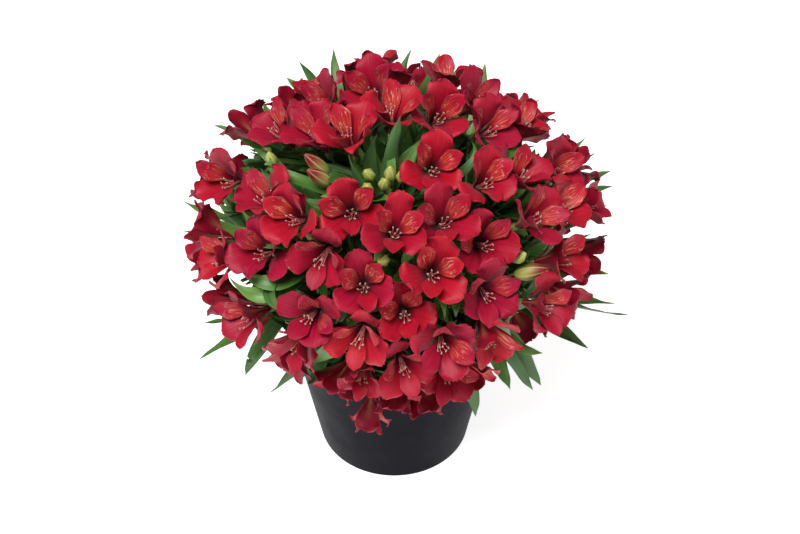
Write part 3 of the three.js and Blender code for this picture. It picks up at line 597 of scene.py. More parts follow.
def lay_plant():
    """Every stem, with its blooms, buds and leaves where the plant's solids have them."""
    blooms = lay_blooms()
    stems = [lay_stem(head) for head in lay_heads(blooms)]
    shoots = [lay_shoot(row) for row in SHOOTS]
    settle_roots(stems + shoots)
    for index, stem in enumerate(stems):
        stem.node = f"flower_stem_{index + 1:02d}"
        curve = stem_curve(stem)
        for i, ray in enumerate(stem.head.blooms + stem.head.buds):
            ray.start = curve(1 - RAY_STEP * (i + 0.2))
        for bloom in stem.head.blooms:
            way, _ = found(stem.node, bloom_ways(bloom), lambda way, b=bloom: bloom_marks(b, way))
            bloom.foot, bloom.roll = way.foot, way.roll
    for index, stem in enumerate(stems):
        kept = []
        for bud in stem.head.buds:
            way, miss = found(stem.node, bud_ways(bud), bud_marks)
            bud.tip = way.tip if miss < SURE_MISS else dome_point(*bud.place)
            if miss < SURE_MISS or clear_of([bud.tip, bud.tip - bud.axis * 8], blooms):
                kept.append(bud)
        stem.head.buds = kept
        stem.leaves = []
        for leaf in range(STEM_LEAVES):
            way, miss = found(stem.node, stem_leaf_ways(stem, index, leaf), leaf_marks)
            if miss < SURE_MISS:
                stem.leaves.append(way)
    for index, stem in enumerate(shoots):
        stem.node = f"leafy_shoot_{index + 1:02d}"
        stem.leaves = [
            found(stem.node, shoot_leaf_ways(stem, index, leaf), leaf_marks)[0]
            for leaf in range(len(stem.tips))
        ]
    return stems, shoots, blooms


def clear_of(points, blooms):
    """True if no point lies in the funnel of a bloom or close before its face."""
    for bloom in blooms:
        for point in points:
            step = point - bloom.foot
            up = step.dot(bloom.axis)
            if FUNNEL_FROM < up < FUNNEL_TO:
                out = (step - bloom.axis * up).length
                flare = min(1, up / FUNNEL_HEIGHT) ** FUNNEL_FLARE
                if out < FUNNEL_NECK + FUNNEL_SPREAD * flare:
                    return False
    return True


# The six tepals of a bloom. Each has its rib as distances out from the bloom's axis and
# up from its foot, its half width at the claw and where it is widest, where along it the
# blade opens, is widest and what is left of it at the tip, how blunt and how round the
# tip is, how deep the blade is cupped, how wavy, ragged and notched its margin is, and
# the tip and the side of the solid's tepal as distances out, up and across.
OUTER_TEPAL = SimpleNamespace(
    rib=((2.2, 0), (4.6, 7.5), (8.8, 16), (14.6, 24.6), (20.6, 29.9), (25.8, 32.2)),
    claw=1.7, wide=11.8, opens=(0.1, 0.68), widest=0.68, left=0.3, blunt=2.4, round=2.4,
    cup=(0.5, 0.06), wave=3.0, ragged=0.5, notch=1, columns=12, rows=16, material="outer_tepal",
    tip=(25.6, 32.2), side=(17.2, 29.2, 10.8),
)
STREAKED_TEPAL = SimpleNamespace(
    rib=((1.8, 0.5), (3.8, 9), (6.8, 18.5), (11.2, 27.4), (15.4, 33.4), (20, 38.4)),
    claw=1.5, wide=8.2, opens=(0.18, 0.7), widest=0.6, left=0.12, blunt=1.7, round=1.2,
    cup=(0.5, 0.26), wave=1.5, ragged=0.3, notch=0, columns=8, rows=15, material="streaked_tepal",
    tip=(20, 38.6), side=(14.2, 32.6, 7.2),
)
LOWER_TEPAL = SimpleNamespace(
    rib=((1.8, 0.5), (4, 9), (7.4, 18.5), (12.2, 27), (16.6, 32.2), (21.6, 36.4)),
    claw=1.5, wide=8.2, opens=(0.18, 0.72), widest=0.62, left=0.16, blunt=1.8, round=1.4,
    cup=(0.5, 0.22), wave=1.2, ragged=0.3, notch=0, columns=8, rows=15, material="lower_tepal",
    tip=(21.6, 36.6), side=(15.6, 32, 7.6),
)
TEPALS = (
    OUTER_TEPAL, STREAKED_TEPAL, OUTER_TEPAL, LOWER_TEPAL, OUTER_TEPAL, STREAKED_TEPAL,
)
ROW_CROWDING = 1.4
SPAN = 60

# Stamens, style, ovary and bud: the line of a stamen as distances out, towards the
# bloom's top and up, the radii along each and the heights or shares where they are
STAMEN_LINE = ((0.9, 0, 2), (1.6, -2, 12), (2.6, -3.6, 20), (3.8, -3.4, 27.5))
FILAMENT_RADII = (0.36, 0.36, 0.36, 0.36, 0.36, 0.3, 0.22)
ANTHER_STEPS = (-1.2, -0.7, 0, 0.7, 1.2)
ANTHER_RADII = (0.2, 0.5, 0.6, 0.5, 0.2)
STYLE_LINE = ((0, 0, 2), (-1.6, 0, 14), (-3, 0, 24))
STYLE_RADII = (0.45, 0.45, 0.45, 0.45, 0.45, 0.6)
OVARY_HEIGHTS = (-0.5, 1.2, 3.2, 5.4, 7.4, 9)
OVARY_RADII = (1.1, 1.9, 2.9, 3.1, 2.6, 2.1)
BUD_SHARES = (0, 0.06, 0.16, 0.3, 0.45, 0.6, 0.74, 0.86, 0.95, 1)
BUD_WIDTHS = (0.3, 0.5, 0.78, 0.97, 1, 0.94, 0.78, 0.55, 0.32, 0.16)


def bloom_place(bloom, angle, out, up, wide=0.0):
    """A point of a bloom in its own frame: a part-open bloom is narrower and longer."""
    shut = 1 - bloom.open
    spread = out * (1 - SHUT_SPREAD * shut)
    half = wide * (1 - SHUT_NARROW * shut)
    x = math.cos(angle) * spread - math.sin(angle) * half
    y = math.sin(angle) * spread + math.cos(angle) * half
    return Vector((x, y, up + SHUT_LENGTHEN * shut * out)) * bloom.size


def bloom_marks(bloom, way):
    """Points of a bloom's outline, where it stands in one way."""
    matrix = facing(way.foot, bloom.axis, way.roll)
    marks = []
    for k, form in enumerate(TEPALS):
        angle = math.radians(SPAN * k)
        out, up, wide = form.side
        marks.append(matrix @ bloom_place(bloom, angle, *form.tip))
        marks.append(matrix @ bloom_place(bloom, angle, out, up, wide))
        marks.append(matrix @ bloom_place(bloom, angle, out, up, -wide))
    return marks


def new_work(name, materials):
    """An empty mesh to model in, with its layers and the places of its materials."""
    mesh = bmesh.new()
    mesh.loops.layers.uv.verify()
    tint = mesh.verts.layers.float.new("tint")
    return SimpleNamespace(mesh=mesh, tint=tint, name=name, materials=materials)


def paint(work, verts, material, tint):
    place = work.materials.index(material)
    for vert in verts:
        vert[work.tint] = tint
        for face in vert.link_faces:
            face.material_index = place
            face.smooth = True


def finished(work, slot, *nodes):
    """Closes seams and poles, and makes the object that stands for the nodes."""
    bmesh.ops.remove_doubles(work.mesh, verts=work.mesh.verts, dist=2e-7)
    data = bpy.data.meshes.new(work.name)
    work.mesh.to_mesh(data)
    work.mesh.free()
    for name in work.materials:
        data.materials.append(bpy.data.materials[FINISH + name])
    piece = bpy.data.objects.new(work.name, data)
    bpy.context.scene.collection.objects.link(piece)
    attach(piece, "root")
    if nodes:
        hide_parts(*nodes)
    return piece


def blade(work, columns, spine, thick, material, tint):
    """A thin closed blade along a spine of rows, front and back meeting in its margin."""
    rows = len(spine) - 1
    made = bmesh.ops.create_grid(
        work.mesh, x_segments=2 * columns, y_segments=rows, size=1, calc_uvs=True
    )
    for vert in made["verts"]:
        across, side = 1 - 2 * abs(vert.co.x), 1 if vert.co.x <= 0 else -1
        share = (vert.co.y + 1) / 2
        row = spine[round(share * rows)]
        s = math.sin(across * math.pi / 2)
        depth = thick * (1 - s ** 8) * (1 - abs(2 * share - 1) ** 16) / 2
        ripple = math.sin(row.phase if s > 0 else row.phase + 2.2)
        lift = row.cup * row.half * s * s + row.wave * abs(s) ** 2.2 * ripple + row.groove(s)
        back = row.round * s * s + row.ragged * math.sin(9 * s + row.phase)
        back += row.notch * max(0, 1 - 4 * abs(s))
        point = row.point - row.across * (s * row.half) - row.along * back
        vert.co = (point + row.face * (lift + side * depth)) * MM
    paint(work, made["verts"], material, tint)


def tube(work, centres, radii, sides, material, tint, ridge=0.0):
    """A closed tube through a few centres, with a radius at each, plain or ridged."""
    rows = len(centres) + 1
    made = bmesh.ops.create_grid(
        work.mesh, x_segments=sides, y_segments=rows, size=1, calc_uvs=True
    )
    frames = []
    last = len(centres) - 1
    side = Vector((1, 0, 0.01))
    for i in range(len(centres)):
        along = (centres[min(last, i + 1)] - centres[max(0, i - 1)]).normalized()
        side = (side - along * side.dot(along)).normalized()
        frames.append((centres[i], side.copy(), along.cross(side), radii[i]))
    frames = [(*frames[0][:3], 0), *frames, (*frames[-1][:3], 0)]
    for vert in made["verts"]:
        turn = math.pi * (vert.co.x + 1)
        centre, side, across, radius = frames[round((vert.co.y + 1) / 2 * rows)]
        radius *= 1 + ridge * math.cos(sides / 2 * turn)
        spoke = side * math.cos(turn) + across * math.sin(turn)
        vert.co = (centre + spoke * radius) * MM
    paint(work, made["verts"], material, tint)


def between(points, share):
    """A place on a smooth line through a few points, evenly shared out between them."""
    spans = len(points) - 1
    at = min(spans - 1e-6, share * spans)
    i = int(at)
    u = at - i
    a, b = points[max(0, i - 1)], points[i]
    c, d = points[i + 1], points[min(spans, i + 2)]
    return 0.5 * (
        2 * b + (c - a) * u + (2 * a - 5 * b + 4 * c - d) * u * u
        + (3 * b - a - 3 * c + d) * u ** 3
    )


def plain(_):
    return 0


def ribbed(s):
    """A shallow groove along a tepal's rib."""
    return -0.3 * math.exp(-((s / 0.16) ** 2))


def add_tepal(work, bloom, matrix, k, thick):
    form = TEPALS[k]
    keys = (bloom.number, k)
    angle = math.radians(SPAN * k + sway(8, *keys, 21))
    grow = 1 + sway(0.06, *keys, 22)
    lean = sway(0.11, *keys, 23)
    twist = math.radians(sway(22, *keys, 24))
    deep = form.cup[1] + sway(0.14, *keys, 25)
    wave = form.wave * (0.5 + draw(*keys, 26))
    phase = 6.3 * draw(*keys, 27)
    rib = [
        bloom_place(bloom, angle, out * (1 + lean * up / 30), up * (1 - lean * out / 60))
        for out, up in form.rib
    ]
    turned = matrix.to_3x3()
    tangential = turned @ Vector((-math.sin(angle), math.cos(angle), 0))
    narrow = bloom.size * (1 - SHUT_NARROW * (1 - bloom.open))
    spine = []
    for i in range(form.rows + 1):
        t = 1 - (1 - i / form.rows) ** ROW_CROWDING
        along = turned @ (
            between(rib, min(1, t + 0.01)) - between(rib, max(0, t - 0.01))
        ).normalized()
        across = tangential.copy()
        across.rotate(Quaternion(along, twist * t))
        half = form.claw + (form.wide - form.claw) * smooth(*form.opens, t)
        past = max(0, t - form.widest) / (1 - form.widest)
        half *= (1 - (1 - form.left ** 2) * past ** form.blunt) ** 0.5 * grow
        spine.append(SimpleNamespace(
            point=matrix @ between(rib, t),
            along=along,
            across=across,
            face=along.cross(across),
            half=half * narrow,
            cup=form.cup[0] + (deep - form.cup[0]) * smooth(0, 0.6, t),
            wave=wave * smooth(0.35, 0.9, t),
            phase=phase + 13 * t,
            round=form.round * smooth(0.5, 1, t),
            ragged=form.ragged * smooth(0.8, 1, t),
            notch=form.notch * smooth(0.9, 1, t),
            groove=ribbed if t > 0.35 else plain,
        ))
    tint = 0.7 * draw(bloom.number, 20) + 0.3 * draw(bloom.number, k, 28)
    blade(work, form.columns, spine, thick, form.material, tint)


def curved(line, matrix, size, radii):
    """Centres for a tube along a line in a bloom's frame, one for each radius."""
    line = [matrix @ (point * size) for point in line]
    steps = len(radii) - 1
    return [between(line, i / steps) for i in range(steps + 1)]


def add_stamens(work, bloom, matrix):
    """Six stamens and the style, which lie along the lower side of the throat."""
    for k in range(6):
        turn = math.radians(SPAN * (k + 0.5))
        spoke = Vector((math.cos(turn), math.sin(turn), 0))
        line = [spoke * out + Vector((top, 0, up)) for out, top, up in STAMEN_LINE]
        line[-1] *= 1 + sway(0.1, bloom.number, k, 31)
        path = curved(line, matrix, bloom.size, FILAMENT_RADII)
        tube(work, path, FILAMENT_RADII, 4, "filament", draw(bloom.number, k, 32))
        across = Vector((sway(1, bloom.number, k, 33), sway(1, bloom.number, k, 34), 0.7))
        lie = matrix.to_3x3() @ across.normalized()
        pod = [path[-1] + lie * step for step in ANTHER_STEPS]
        tube(work, pod, ANTHER_RADII, 6, "anther", draw(bloom.number, k, 35))
    path = curved([Vector(point) for point in STYLE_LINE], matrix, bloom.size, STYLE_RADII)
    tube(work, path, STYLE_RADII, 5, "filament", 0)


def tapered(curve, steps, radius, most, loss):
    """Centres and radii along a curve, from most times the radius to loss less."""
    path = [curve(i / steps) for i in range(steps + 1)]
    return path, [radius * (most - loss * i / steps) for i in range(steps + 1)]


def add_ray(work, start, end, axis, radius, tint):
    """The ray from the stem to the neck of an ovary or bud."""
    length = (end - start).length
    middle = (start + end) / 2
    bend = middle.lerp(end - axis * (0.5 * length), 0.5)
    path, radii = tapered(arc(start, bend, end), 8, radius, 1.25, 0.25)
    tube(work, path, radii, 6, "stem_skin", tint)


def add_bloom(work, bloom, thick):
    matrix = facing(bloom.foot, bloom.axis, bloom.roll)
    for k in range(6):
        add_tepal(work, bloom, matrix, k, thick)
    add_stamens(work, bloom, matrix)
    neck = bloom.foot - bloom.axis * OVARY_LENGTH
    belly = [neck + bloom.axis * height for height in OVARY_HEIGHTS]
    tube(work, belly, OVARY_RADII, 12, "ovary_skin", draw(bloom.number, 36), 0.1)
    add_ray(work, bloom.start, neck, bloom.axis, BLOOM_RAY_RADIUS, draw(bloom.number, 37))


def add_bud(work, foot, axis, length, radius, tint):
    """A closed bud: ridged, fullest below its middle, with a blunt point."""
    centres = [foot + axis * (length * share) for share in BUD_SHARES]
    tube(work, centres, [radius * wide for wide in BUD_WIDTHS], 12, "bud_skin", tint, 0.08)


def add_leaf(work, leaf, rows, columns, thick, keys, wave=1.0):
    """A lance-shaped leaf that follows its curve, folds a little and twists."""
    curve = arc(leaf.foot, leaf.bend, leaf.tip)
    phase = 6.3 * draw(*keys, 41)
    ripples = 8 + 6 * draw(*keys, 42)
    spine = []
    for i in range(rows + 1):
        t = i / rows
        along, side = leaf_side(leaf, curve, t)
        shape = math.sin(math.pi * (0.02 + 0.98 * t) ** 0.78) ** 0.9 if t < 1 else 0.02
        spine.append(SimpleNamespace(
            point=curve(t),
            along=along,
            across=side,
            face=along.cross(side),
            half=leaf.half * max(0.14 * (1 - t), shape),
            cup=LEAF_FOLD,
            wave=wave * smooth(0.1, 0.4, t) * (1 - smooth(0.8, 1, t)),
            phase=phase + ripples * t,
            round=0,
            ragged=0,
            notch=0,
            groove=plain,
        ))
    blade(work, columns, spine, thick, "leaf_blade", draw(*keys, 43))


def add_inner_leaves(work, stem, thick):
    for leaf in stem.inner:
        add_leaf(work, leaf, leaf.rows, leaf.columns, thick, (leaf.number, 65))


def add_stem(work, stem, radius, tint):
    curve = stem_curve(stem)
    foot = stem.root.copy()
    foot.z = SOIL_TOP - STEM_SINK
    path, radii = tapered(curve, 16, radius, 1.12, 0.18)
    tube(work, [foot, *path], [radii[0], *radii], 8, "stem_skin", tint)


def lay_undergrowth(stems, blooms, count):
    """The leaves that fill the plant under its dome: each grows from the stem that
    passes best below its own tip."""
    lowest = math.sin(math.radians(LOWEST_INNER))
    spots = [
        (stem, stem_curve(stem)(share))
        for stem in stems
        for share in INNER_SHARES
    ]
    for stem in stems:
        stem.inner = []
    for i in range(count):
        climb = math.degrees(math.asin(1 - (i + 0.5) / count * (1 - lowest)))
        bearing = i * GOLDEN_TURN
        depth = INNER_DEPTH[0] + INNER_DEPTH[1] * draw(i, 51) ** 1.6
        tip = dome_point(bearing, climb, -depth)
        wanted = INNER_REACH[0] + INNER_REACH[1] * draw(i, 52)

        def fit(spot, tip=tip, wanted=wanted):
            step = tip - spot[1]
            flat = max(0, INNER_LEAST_RISE - step.normalized().z)
            return abs(step.length - wanted) + 30 * flat

        stem, foot = min(spots, key=fit)
        out = outward(bearing, climb)
        aim = (tip - foot).normalized()
        side = aim.cross(out)
        if side.length < 0.1:
            side = aim.cross(UP)
        bend = (foot + tip) / 2 + out * (INNER_ARCH * (tip - foot).length)
        bend += side.normalized() * sway(8, i, 53)
        leaf = SimpleNamespace(
            foot=foot, bend=bend, tip=tip, face=(out + UP * 0.4).normalized(),
            twist=math.radians(sway(40, i, 54)), half=LEAF_HALF * (1 + 0.5 * draw(i, 55)),
            number=i, rows=7, columns=4,
        )
        if clear_of(leaf_path(leaf), blooms):
            stem.inner.append(leaf)
    for i, (bearing, climb, base_bearing, base_climb, half) in enumerate(GAP_LEAVES):
        tip = dome_point(bearing, climb, -GAP_LEAF_TIP)
        base = dome_point(base_bearing, base_climb, -GAP_LEAF_BASE)
        stem, foot = min(spots, key=lambda spot, base=base: (spot[1] - base).length)
        leaf = SimpleNamespace(
            foot=foot, bend=(base - foot * 0.25 - tip * 0.25) * 2, tip=tip,
            face=(outward(bearing, climb) + UP * 0.3).normalized(),
            twist=math.radians(sway(25, i, 56)), half=half, number=count + i, rows=16,
            columns=8,
        )
        if clear_of(leaf_path(leaf), blooms):
            stem.inner.append(leaf)


def leaf_path(leaf):
    """The outer part of a leaf's rib."""
    curve = arc(leaf.foot, leaf.bend, leaf.tip)
    return [curve(share) for share in LEAF_PATH]


class Finish:
    """A material's node tree, with short ways to build it."""

    def __init__(self, name, roughness, specular):
        material = bpy.data.materials.new(FINISH + name)
        material.use_nodes = True
        self.tree = material.node_tree
        self.shader = self.tree.nodes["Principled BSDF"]
        self.shade(**{"Roughness": roughness, "Specular IOR Level": specular})

    def socket(self, node, key, value):
        """Links a socket's value, or sets it."""
        if isinstance(value, bpy.types.NodeSocket):
            self.tree.links.new(value, node.inputs[key])
        else:
            node.inputs[key].default_value = value

    def shade(self, **values):
        for key, value in values.items():
            self.socket(self.shader, key, value)

    def node(self, kind, inputs, **settings):
        node = self.tree.nodes.new("ShaderNode" + kind)
        for name, value in settings.items():
            setattr(node, name, value)
        for key, value in inputs.items():
            self.socket(node, key, value)
        return node.outputs

    def maths(self, operation, *values):
        return self.node("Math", dict(enumerate(values)), operation=operation)[0]

    def times(self, *values):
        return self.maths("MULTIPLY", *values)

    def ramp(self, value, low, high, start=0.0, end=1.0):
        """A smooth change from start to end as a value goes from low to high."""
        inputs = {
            "Value": value, "From Min": low, "From Max": high, "To Min": start, "To Max": end,
        }
        return self.node("MapRange", inputs, interpolation_type="SMOOTHSTEP")[0]

    def mix(self, share, first, second):
        node = self.tree.nodes.new("ShaderNodeMix")
        node.data_type = "RGBA"
        self.socket(node, 0, share)
        for key, value in ((6, first), (7, second)):
            if not isinstance(value, bpy.types.NodeSocket):
                value = (*value, 1)
            self.socket(node, key, value)
        return node.outputs[2]

    def grain(self, vector, scale, detail=2.0, rough=0.5):
        inputs = {"Vector": vector, "Scale": scale, "Detail": detail, "Roughness": rough}
        return self.node("TexNoise", inputs)[0]

    def bump(self, height, strength, distance):
        inputs = {"Height": height, "Strength": strength, "Distance": distance}
        self.shade(Normal=self.node("Bump", inputs)[0])

    def place(self, kind):
        return self.node("TexCoord", {})[kind]

    def split(self, vector):
        return self.node("SeparateXYZ", {0: vector})

    def own(self):
        """The draw that each blade or tube has for itself."""
        return self.node("Attribute", {}, attribute_name="tint")["Fac"]


class BladeFinish(Finish):
    """The finish of a blade, which knows where a point lies on it: across it, along it,
    off its rib, on its back and the blade's own draw."""

    def __init__(self, name, roughness, specular):
        super().__init__(name, roughness, specular)
        uv = self.split(self.place("UV"))
        self.across = self.times(self.maths("PINGPONG", uv[0], 0.5), 2)
        self.off = self.maths("ABSOLUTE", self.maths("SUBTRACT", self.times(self.across, 2), 1))
        self.back = self.maths("GREATER_THAN", uv[0], 0.5)
        self.along = uv[1]
        self.tint = self.own()

    def stretched(self, across, along):
        """A pattern's place that is stretched along the blade and differs on each."""
        return self.node("CombineXYZ", {
            0: self.times(self.across, across),
            1: self.times(self.along, along),
            2: self.times(self.tint, 37),
        })[0]


def tepal_material(name, settings, streaked):
    at = BladeFinish(name, 0.5, 0.25)
    fine = at.grain(at.stretched(24, 1.4), 1, 2)
    warm = at.mix(at.ramp(at.tint, 0.1, 0.9), settings.petal, settings.petal_warm)
    # Pale lines along the blade: partly veins, partly painted streaky highlights. The front's
    # colour carries these painted highlights from here on.
    front_with_painted_highlights = at.mix(at.ramp(fine, 0.35, 0.7, 0, 0.32), warm, settings.petal_veins_and_highlight)
    # Lighter margin on the outer part of the blade: partly the tepal's own pale edge, partly a
    # painted rim highlight
    margin = at.times(at.ramp(at.off, 0.78, 1), at.ramp(at.along, 0.4, 0.8))
    front_with_painted_highlights = at.mix(at.times(margin, 0.5), front_with_painted_highlights, settings.petal_margin_and_rim_highlight)
    if streaked:
        lines = at.grain(at.stretched(8.5, 2.1), 1.5, 1.2, 0.4)
        near = at.maths("ABSOLUTE", at.maths("SUBTRACT", lines, 0.5))
        line = at.ramp(near, 0.008, 0.036, 1, 0)
        line = at.times(line, at.ramp(at.tint, 0.0, 0.8, 0.3, 0.75))
        reach = at.maths("ADD", 0.64, at.times(at.off, 0.22))
        below = at.ramp(at.maths("SUBTRACT", at.along, reach), -0.14, 0.04, 1, 0)
        where = at.times(below, at.ramp(at.along, 0.26, 0.42))
        ground = at.times(where, at.ramp(at.along, 0.38, 0.66, 0.75, 0))
        front_with_painted_highlights = at.mix(at.times(ground, 0.2), front_with_painted_highlights, settings.gold)
        front_with_painted_highlights = at.mix(at.times(where, line), front_with_painted_highlights, settings.streak)
    else:
        spot = at.times(at.ramp(at.along, 0.955, 0.985), at.ramp(at.off, 0.1, 0.3, 1, 0))
        front_with_painted_highlights = at.mix(at.times(spot, 0.8), front_with_painted_highlights, settings.tip)
    # Painted shade: the front darkens to near black towards the foot, where the throat lies in
    # shade
    front = at.mix(at.ramp(at.along, 0.12, 0.4, 0.85, 0), front_with_painted_highlights, settings.throat)
    under = at.mix(at.ramp(fine, 0.3, 0.7, 0, 0.5), settings.petal_back, settings.petal)
    greenish = at.times(at.ramp(at.off, 0.0, 0.35, 0.5, 0), at.ramp(at.along, 0.15, 0.55, 1, 0))
    under = at.mix(greenish, under, settings.petal_rib)
    at.shade(**{
        "Base Color": at.mix(at.back, front, under), "Sheen Weight": 0.1,
        "Sheen Roughness": 0.45, "Sheen Tint": (1, 0.45, 0.55, 1),
    })
    at.bump(fine, 0.5, 0.0008)


def leaf_material(settings):
    at = BladeFinish("leaf_blade", 0.42, 0.4)
    fine = at.grain(at.stretched(15, 0.7), 1, 2)
    blotch = at.grain(at.stretched(1.6, 2.4), 1, 2)
    young = at.mix(at.ramp(at.tint, 0.15, 0.95), settings.leaf, settings.leaf_young)
    young = at.mix(at.ramp(blotch, 0.4, 0.75, 0, 0.5), young, settings.leaf_dark)
    top = at.mix(at.ramp(fine, 0.35, 0.72, 0, 0.4), young, settings.leaf_young)
    top = at.mix(at.ramp(at.off, 0.02, 0.09, 0.55, 0), top, settings.leaf_under)
    tip = at.times(at.ramp(at.along, 0.9, 1.0), at.ramp(at.tint, 0.5, 0.8))
    top = at.mix(at.times(tip, 0.7), top, settings.leaf_tip)
    under = at.mix(at.ramp(fine, 0.3, 0.7, 0, 0.45), settings.leaf_under, settings.leaf)
    at.shade(**{
        "Base Color": at.mix(at.back, top, under),
        "Roughness": at.maths("ADD", at.times(at.back, 0.22), 0.4),
    })
    at.bump(fine, 0.5, 0.0008)


def skin_material(name, first, second, roughness, scale=90.0, along=None):
    """A stem, ovary or bud: two colours blotched together, or one after the other."""
    skin = Finish(name, roughness, 0.4)
    uv = skin.split(skin.place("UV"))
    blotch = skin.grain(skin.place("Object"), scale, 3)
    share = skin.ramp(blotch, 0.4, 0.65)
    if along:
        share = skin.times(skin.ramp(uv[1], *along), skin.ramp(skin.own(), 0.35, 0.7))
    ribs = skin.maths("PINGPONG", skin.times(uv[0], 6), 0.5)
    pale = [min(1, 1.6 * c + 0.1) for c in first]
    colour = skin.mix(skin.ramp(ribs, 0.0, 0.2, 0.4, 0), skin.mix(share, first, second), pale)
    skin.shade(**{"Base Color": colour})
    skin.bump(blotch, 0.25, 0.0005)


def plain_material(name, first, second, roughness, scale):
    """A finish that wavers between two near colours."""
    finish = Finish(name, roughness, 0.4)
    blotch = finish.grain(finish.place("Object"), scale, 3)
    colour = finish.mix(finish.ramp(blotch, 0.35, 0.65), first, second)
    finish.shade(**{"Base Color": colour})
    finish.bump(blotch, 0.3, 0.0006)


def pot_material(settings):
    pot = Finish("pot_plastic", 0.4, 0.02)
    places = pot.place("Object")
    scuff = pot.grain(places, 38, 5, 0.62)
    low = pot.ramp(pot.split(places)[2], 0.0, 0.09, 0.5, 0.15)
    dusty = pot.times(pot.ramp(scuff, 0.5, 0.72), low)
    pot.shade(**{
        "Base Color": pot.mix(dusty, settings.colour, settings.dust),
        "Roughness": pot.ramp(scuff, 0.3, 0.7, 0.42, 0.5),
    })
    pot.bump(pot.grain(places, 900, 2), 0.12, 0.0004)


def soil_material(settings):
    soil = Finish("peat", 0.95, 0.2)
    places = soil.place("Object")
    crumb = soil.grain(places, 420, 5, 0.7)
    damp = soil.ramp(soil.grain(places, 30, 3), 0.4, 0.7, 0, 0.6)
    colour = soil.mix(soil.ramp(crumb, 0.35, 0.7), settings.peat, settings.bark)
    soil.shade(**{"Base Color": soil.mix(damp, colour, settings.damp)})
    soil.bump(crumb, 0.9, 0.002)


STEM_MATERIALS = (
    "outer_tepal", "streaked_tepal", "lower_tepal", "filament", "anther", "ovary_skin",
    "stem_skin", "bud_skin", "leaf_blade",
)


def colour_property(name, description, default):
    return FloatVectorProperty(
        name=name, description=description, default=default, subtype="COLOR",
        min=0, max=1, size=3,
    )


def length_property(name, description, default, least=0.0002):
    return FloatProperty(
        name=name, description=description, default=default, min=least, unit="LENGTH"
    )


class LilyBloomSettings(bpy.types.PropertyGroup):
    thick: length_property("Tepal thickness", "Thickness of a tepal at its rib", 0.7 * MM)
    petal: colour_property("Petal", "Main crimson of the tepals", (0.29, 0.0006, 0.023))
    petal_warm: colour_property("Warm petal", "The redder tepals", (0.39, 0.0020, 0.010))
    # Pale lines along a tepal: partly veins, partly painted highlights
    petal_veins_and_highlight: colour_property("Pale veins", "Lines along a tepal", (0.50, 0.010, 0.055))
    # Partly a pale margin, partly a painted rim highlight
    petal_margin_and_rim_highlight: colour_property("Margin", "The pale margin of a tepal", (0.70, 0.06, 0.11))
    petal_back: colour_property("Back", "The back of a tepal", (0.23, 0.0012, 0.014))
    petal_rib: colour_property("Rib", "The greenish rib on the back", (0.45, 0.28, 0.10))
    tip: colour_property("Tip", "The spot at a smooth tepal's tip", (0.10, 0.09, 0.02))
    # Painted shade of the throat, the recess at the foot of the tepals
    throat: colour_property("Throat", "The dark throat", (0.055, 0.0006, 0.008))
    streak: colour_property("Streaks", "Streaks of the inner tepals", (0.74, 0.30, 0.22))
    gold: colour_property("Gold", "Ground under the streaks", (0.78, 0.16, 0.04))
    filament: colour_property("Filaments", "Stamens' filaments", (0.60, 0.08, 0.09))
    filament_pale: colour_property("Pale filaments", "Lighter parts", (0.85, 0.45, 0.40))
    anther: colour_property("Anthers", "Stamens' anthers", (0.25, 0.22, 0.11))
    pollen: colour_property("Pollen", "Lighter parts of the anthers", (0.46, 0.42, 0.30))


class LilyLeafSettings(bpy.types.PropertyGroup):
    thick: length_property("Leaf thickness", "Thickness of a leaf at its rib", 0.7 * MM)
    inner: IntProperty(
        name="Inner leaves", description="Leaves that fill the plant under its dome",
        default=INNER_LEAVES, min=0,
    )
    leaf: colour_property("Leaf", "Main green of the leaves", (0.034, 0.11, 0.016))
    leaf_young: colour_property("Young leaf", "The lightest leaves", (0.115, 0.255, 0.04))
    leaf_dark: colour_property("Dark leaf", "Darker patches", (0.009, 0.036, 0.007))
    leaf_under: colour_property("Underside", "Grey-green underside", (0.07, 0.15, 0.045))
    leaf_tip: colour_property("Leaf tip", "Dry tips of a few leaves", (0.45, 0.38, 0.12))
    stem: colour_property("Stem", "Green of the stems", (0.10, 0.20, 0.04))
    stem_red: colour_property("Stem flush", "Flush of the stems", (0.20, 0.07, 0.03))
    ovary: colour_property("Ovary flush", "Flush of the ovaries", (0.26, 0.13, 0.04))
    bud: colour_property("Bud", "Yellow-green of a young bud", (0.40, 0.42, 0.10))
    bud_ripe: colour_property("Ripe bud", "Dark red of a ripe bud", (0.22, 0.006, 0.02))


class LilyPotSettings(bpy.types.PropertyGroup):
    height: length_property("Height", "Height of the pot", POT_HEIGHT * MM)
    base_radius: length_property("Base radius", "Of the pot's base", POT_BASE_RADIUS * MM)
    top_radius: length_property("Top radius", "Of the wall's rim", POT_TOP_RADIUS * MM)
    colour: colour_property("Plastic", "Black of the pot", (0.0035, 0.0032, 0.0075))
    dust: colour_property("Dust", "Thin dust on the pot", (0.006, 0.006, 0.008))
    peat: colour_property("Peat", "Dark of the soil", (0.030, 0.018, 0.010))
    damp: colour_property("Damp peat", "Damp patches of the soil", (0.012, 0.008, 0.005))
    bark: colour_property("Bark", "Lighter crumbs in the soil", (0.10, 0.055, 0.028))
    bark_dark: colour_property("Dark bark", "Darker bits of bark", (0.05, 0.03, 0.016))


class LilyStageSettings(bpy.types.PropertyGroup):
    distance: length_property("Camera distance", "From camera to plant", 0.967)
    elevation: FloatProperty(
        name="Camera elevation", description="Angle that the camera looks down by",
        default=math.radians(40.2), unit="ROTATION", subtype="ANGLE",
    )
    focal: FloatProperty(
        name="Focal length", description="Lens for a picture 36 mm wide",
        default=49.5, unit="CAMERA",
    )
    floor: colour_property("Floor", "Pale floor", (0.93, 0.93, 0.93))
    glow: FloatProperty(name="Floor glow", description="How much it shines", default=0.78)
    key: FloatProperty(name="Key light", description="Power in watts", default=46.0)
    sky: FloatProperty(name="Sky light", description="Light from all round", default=0.17)


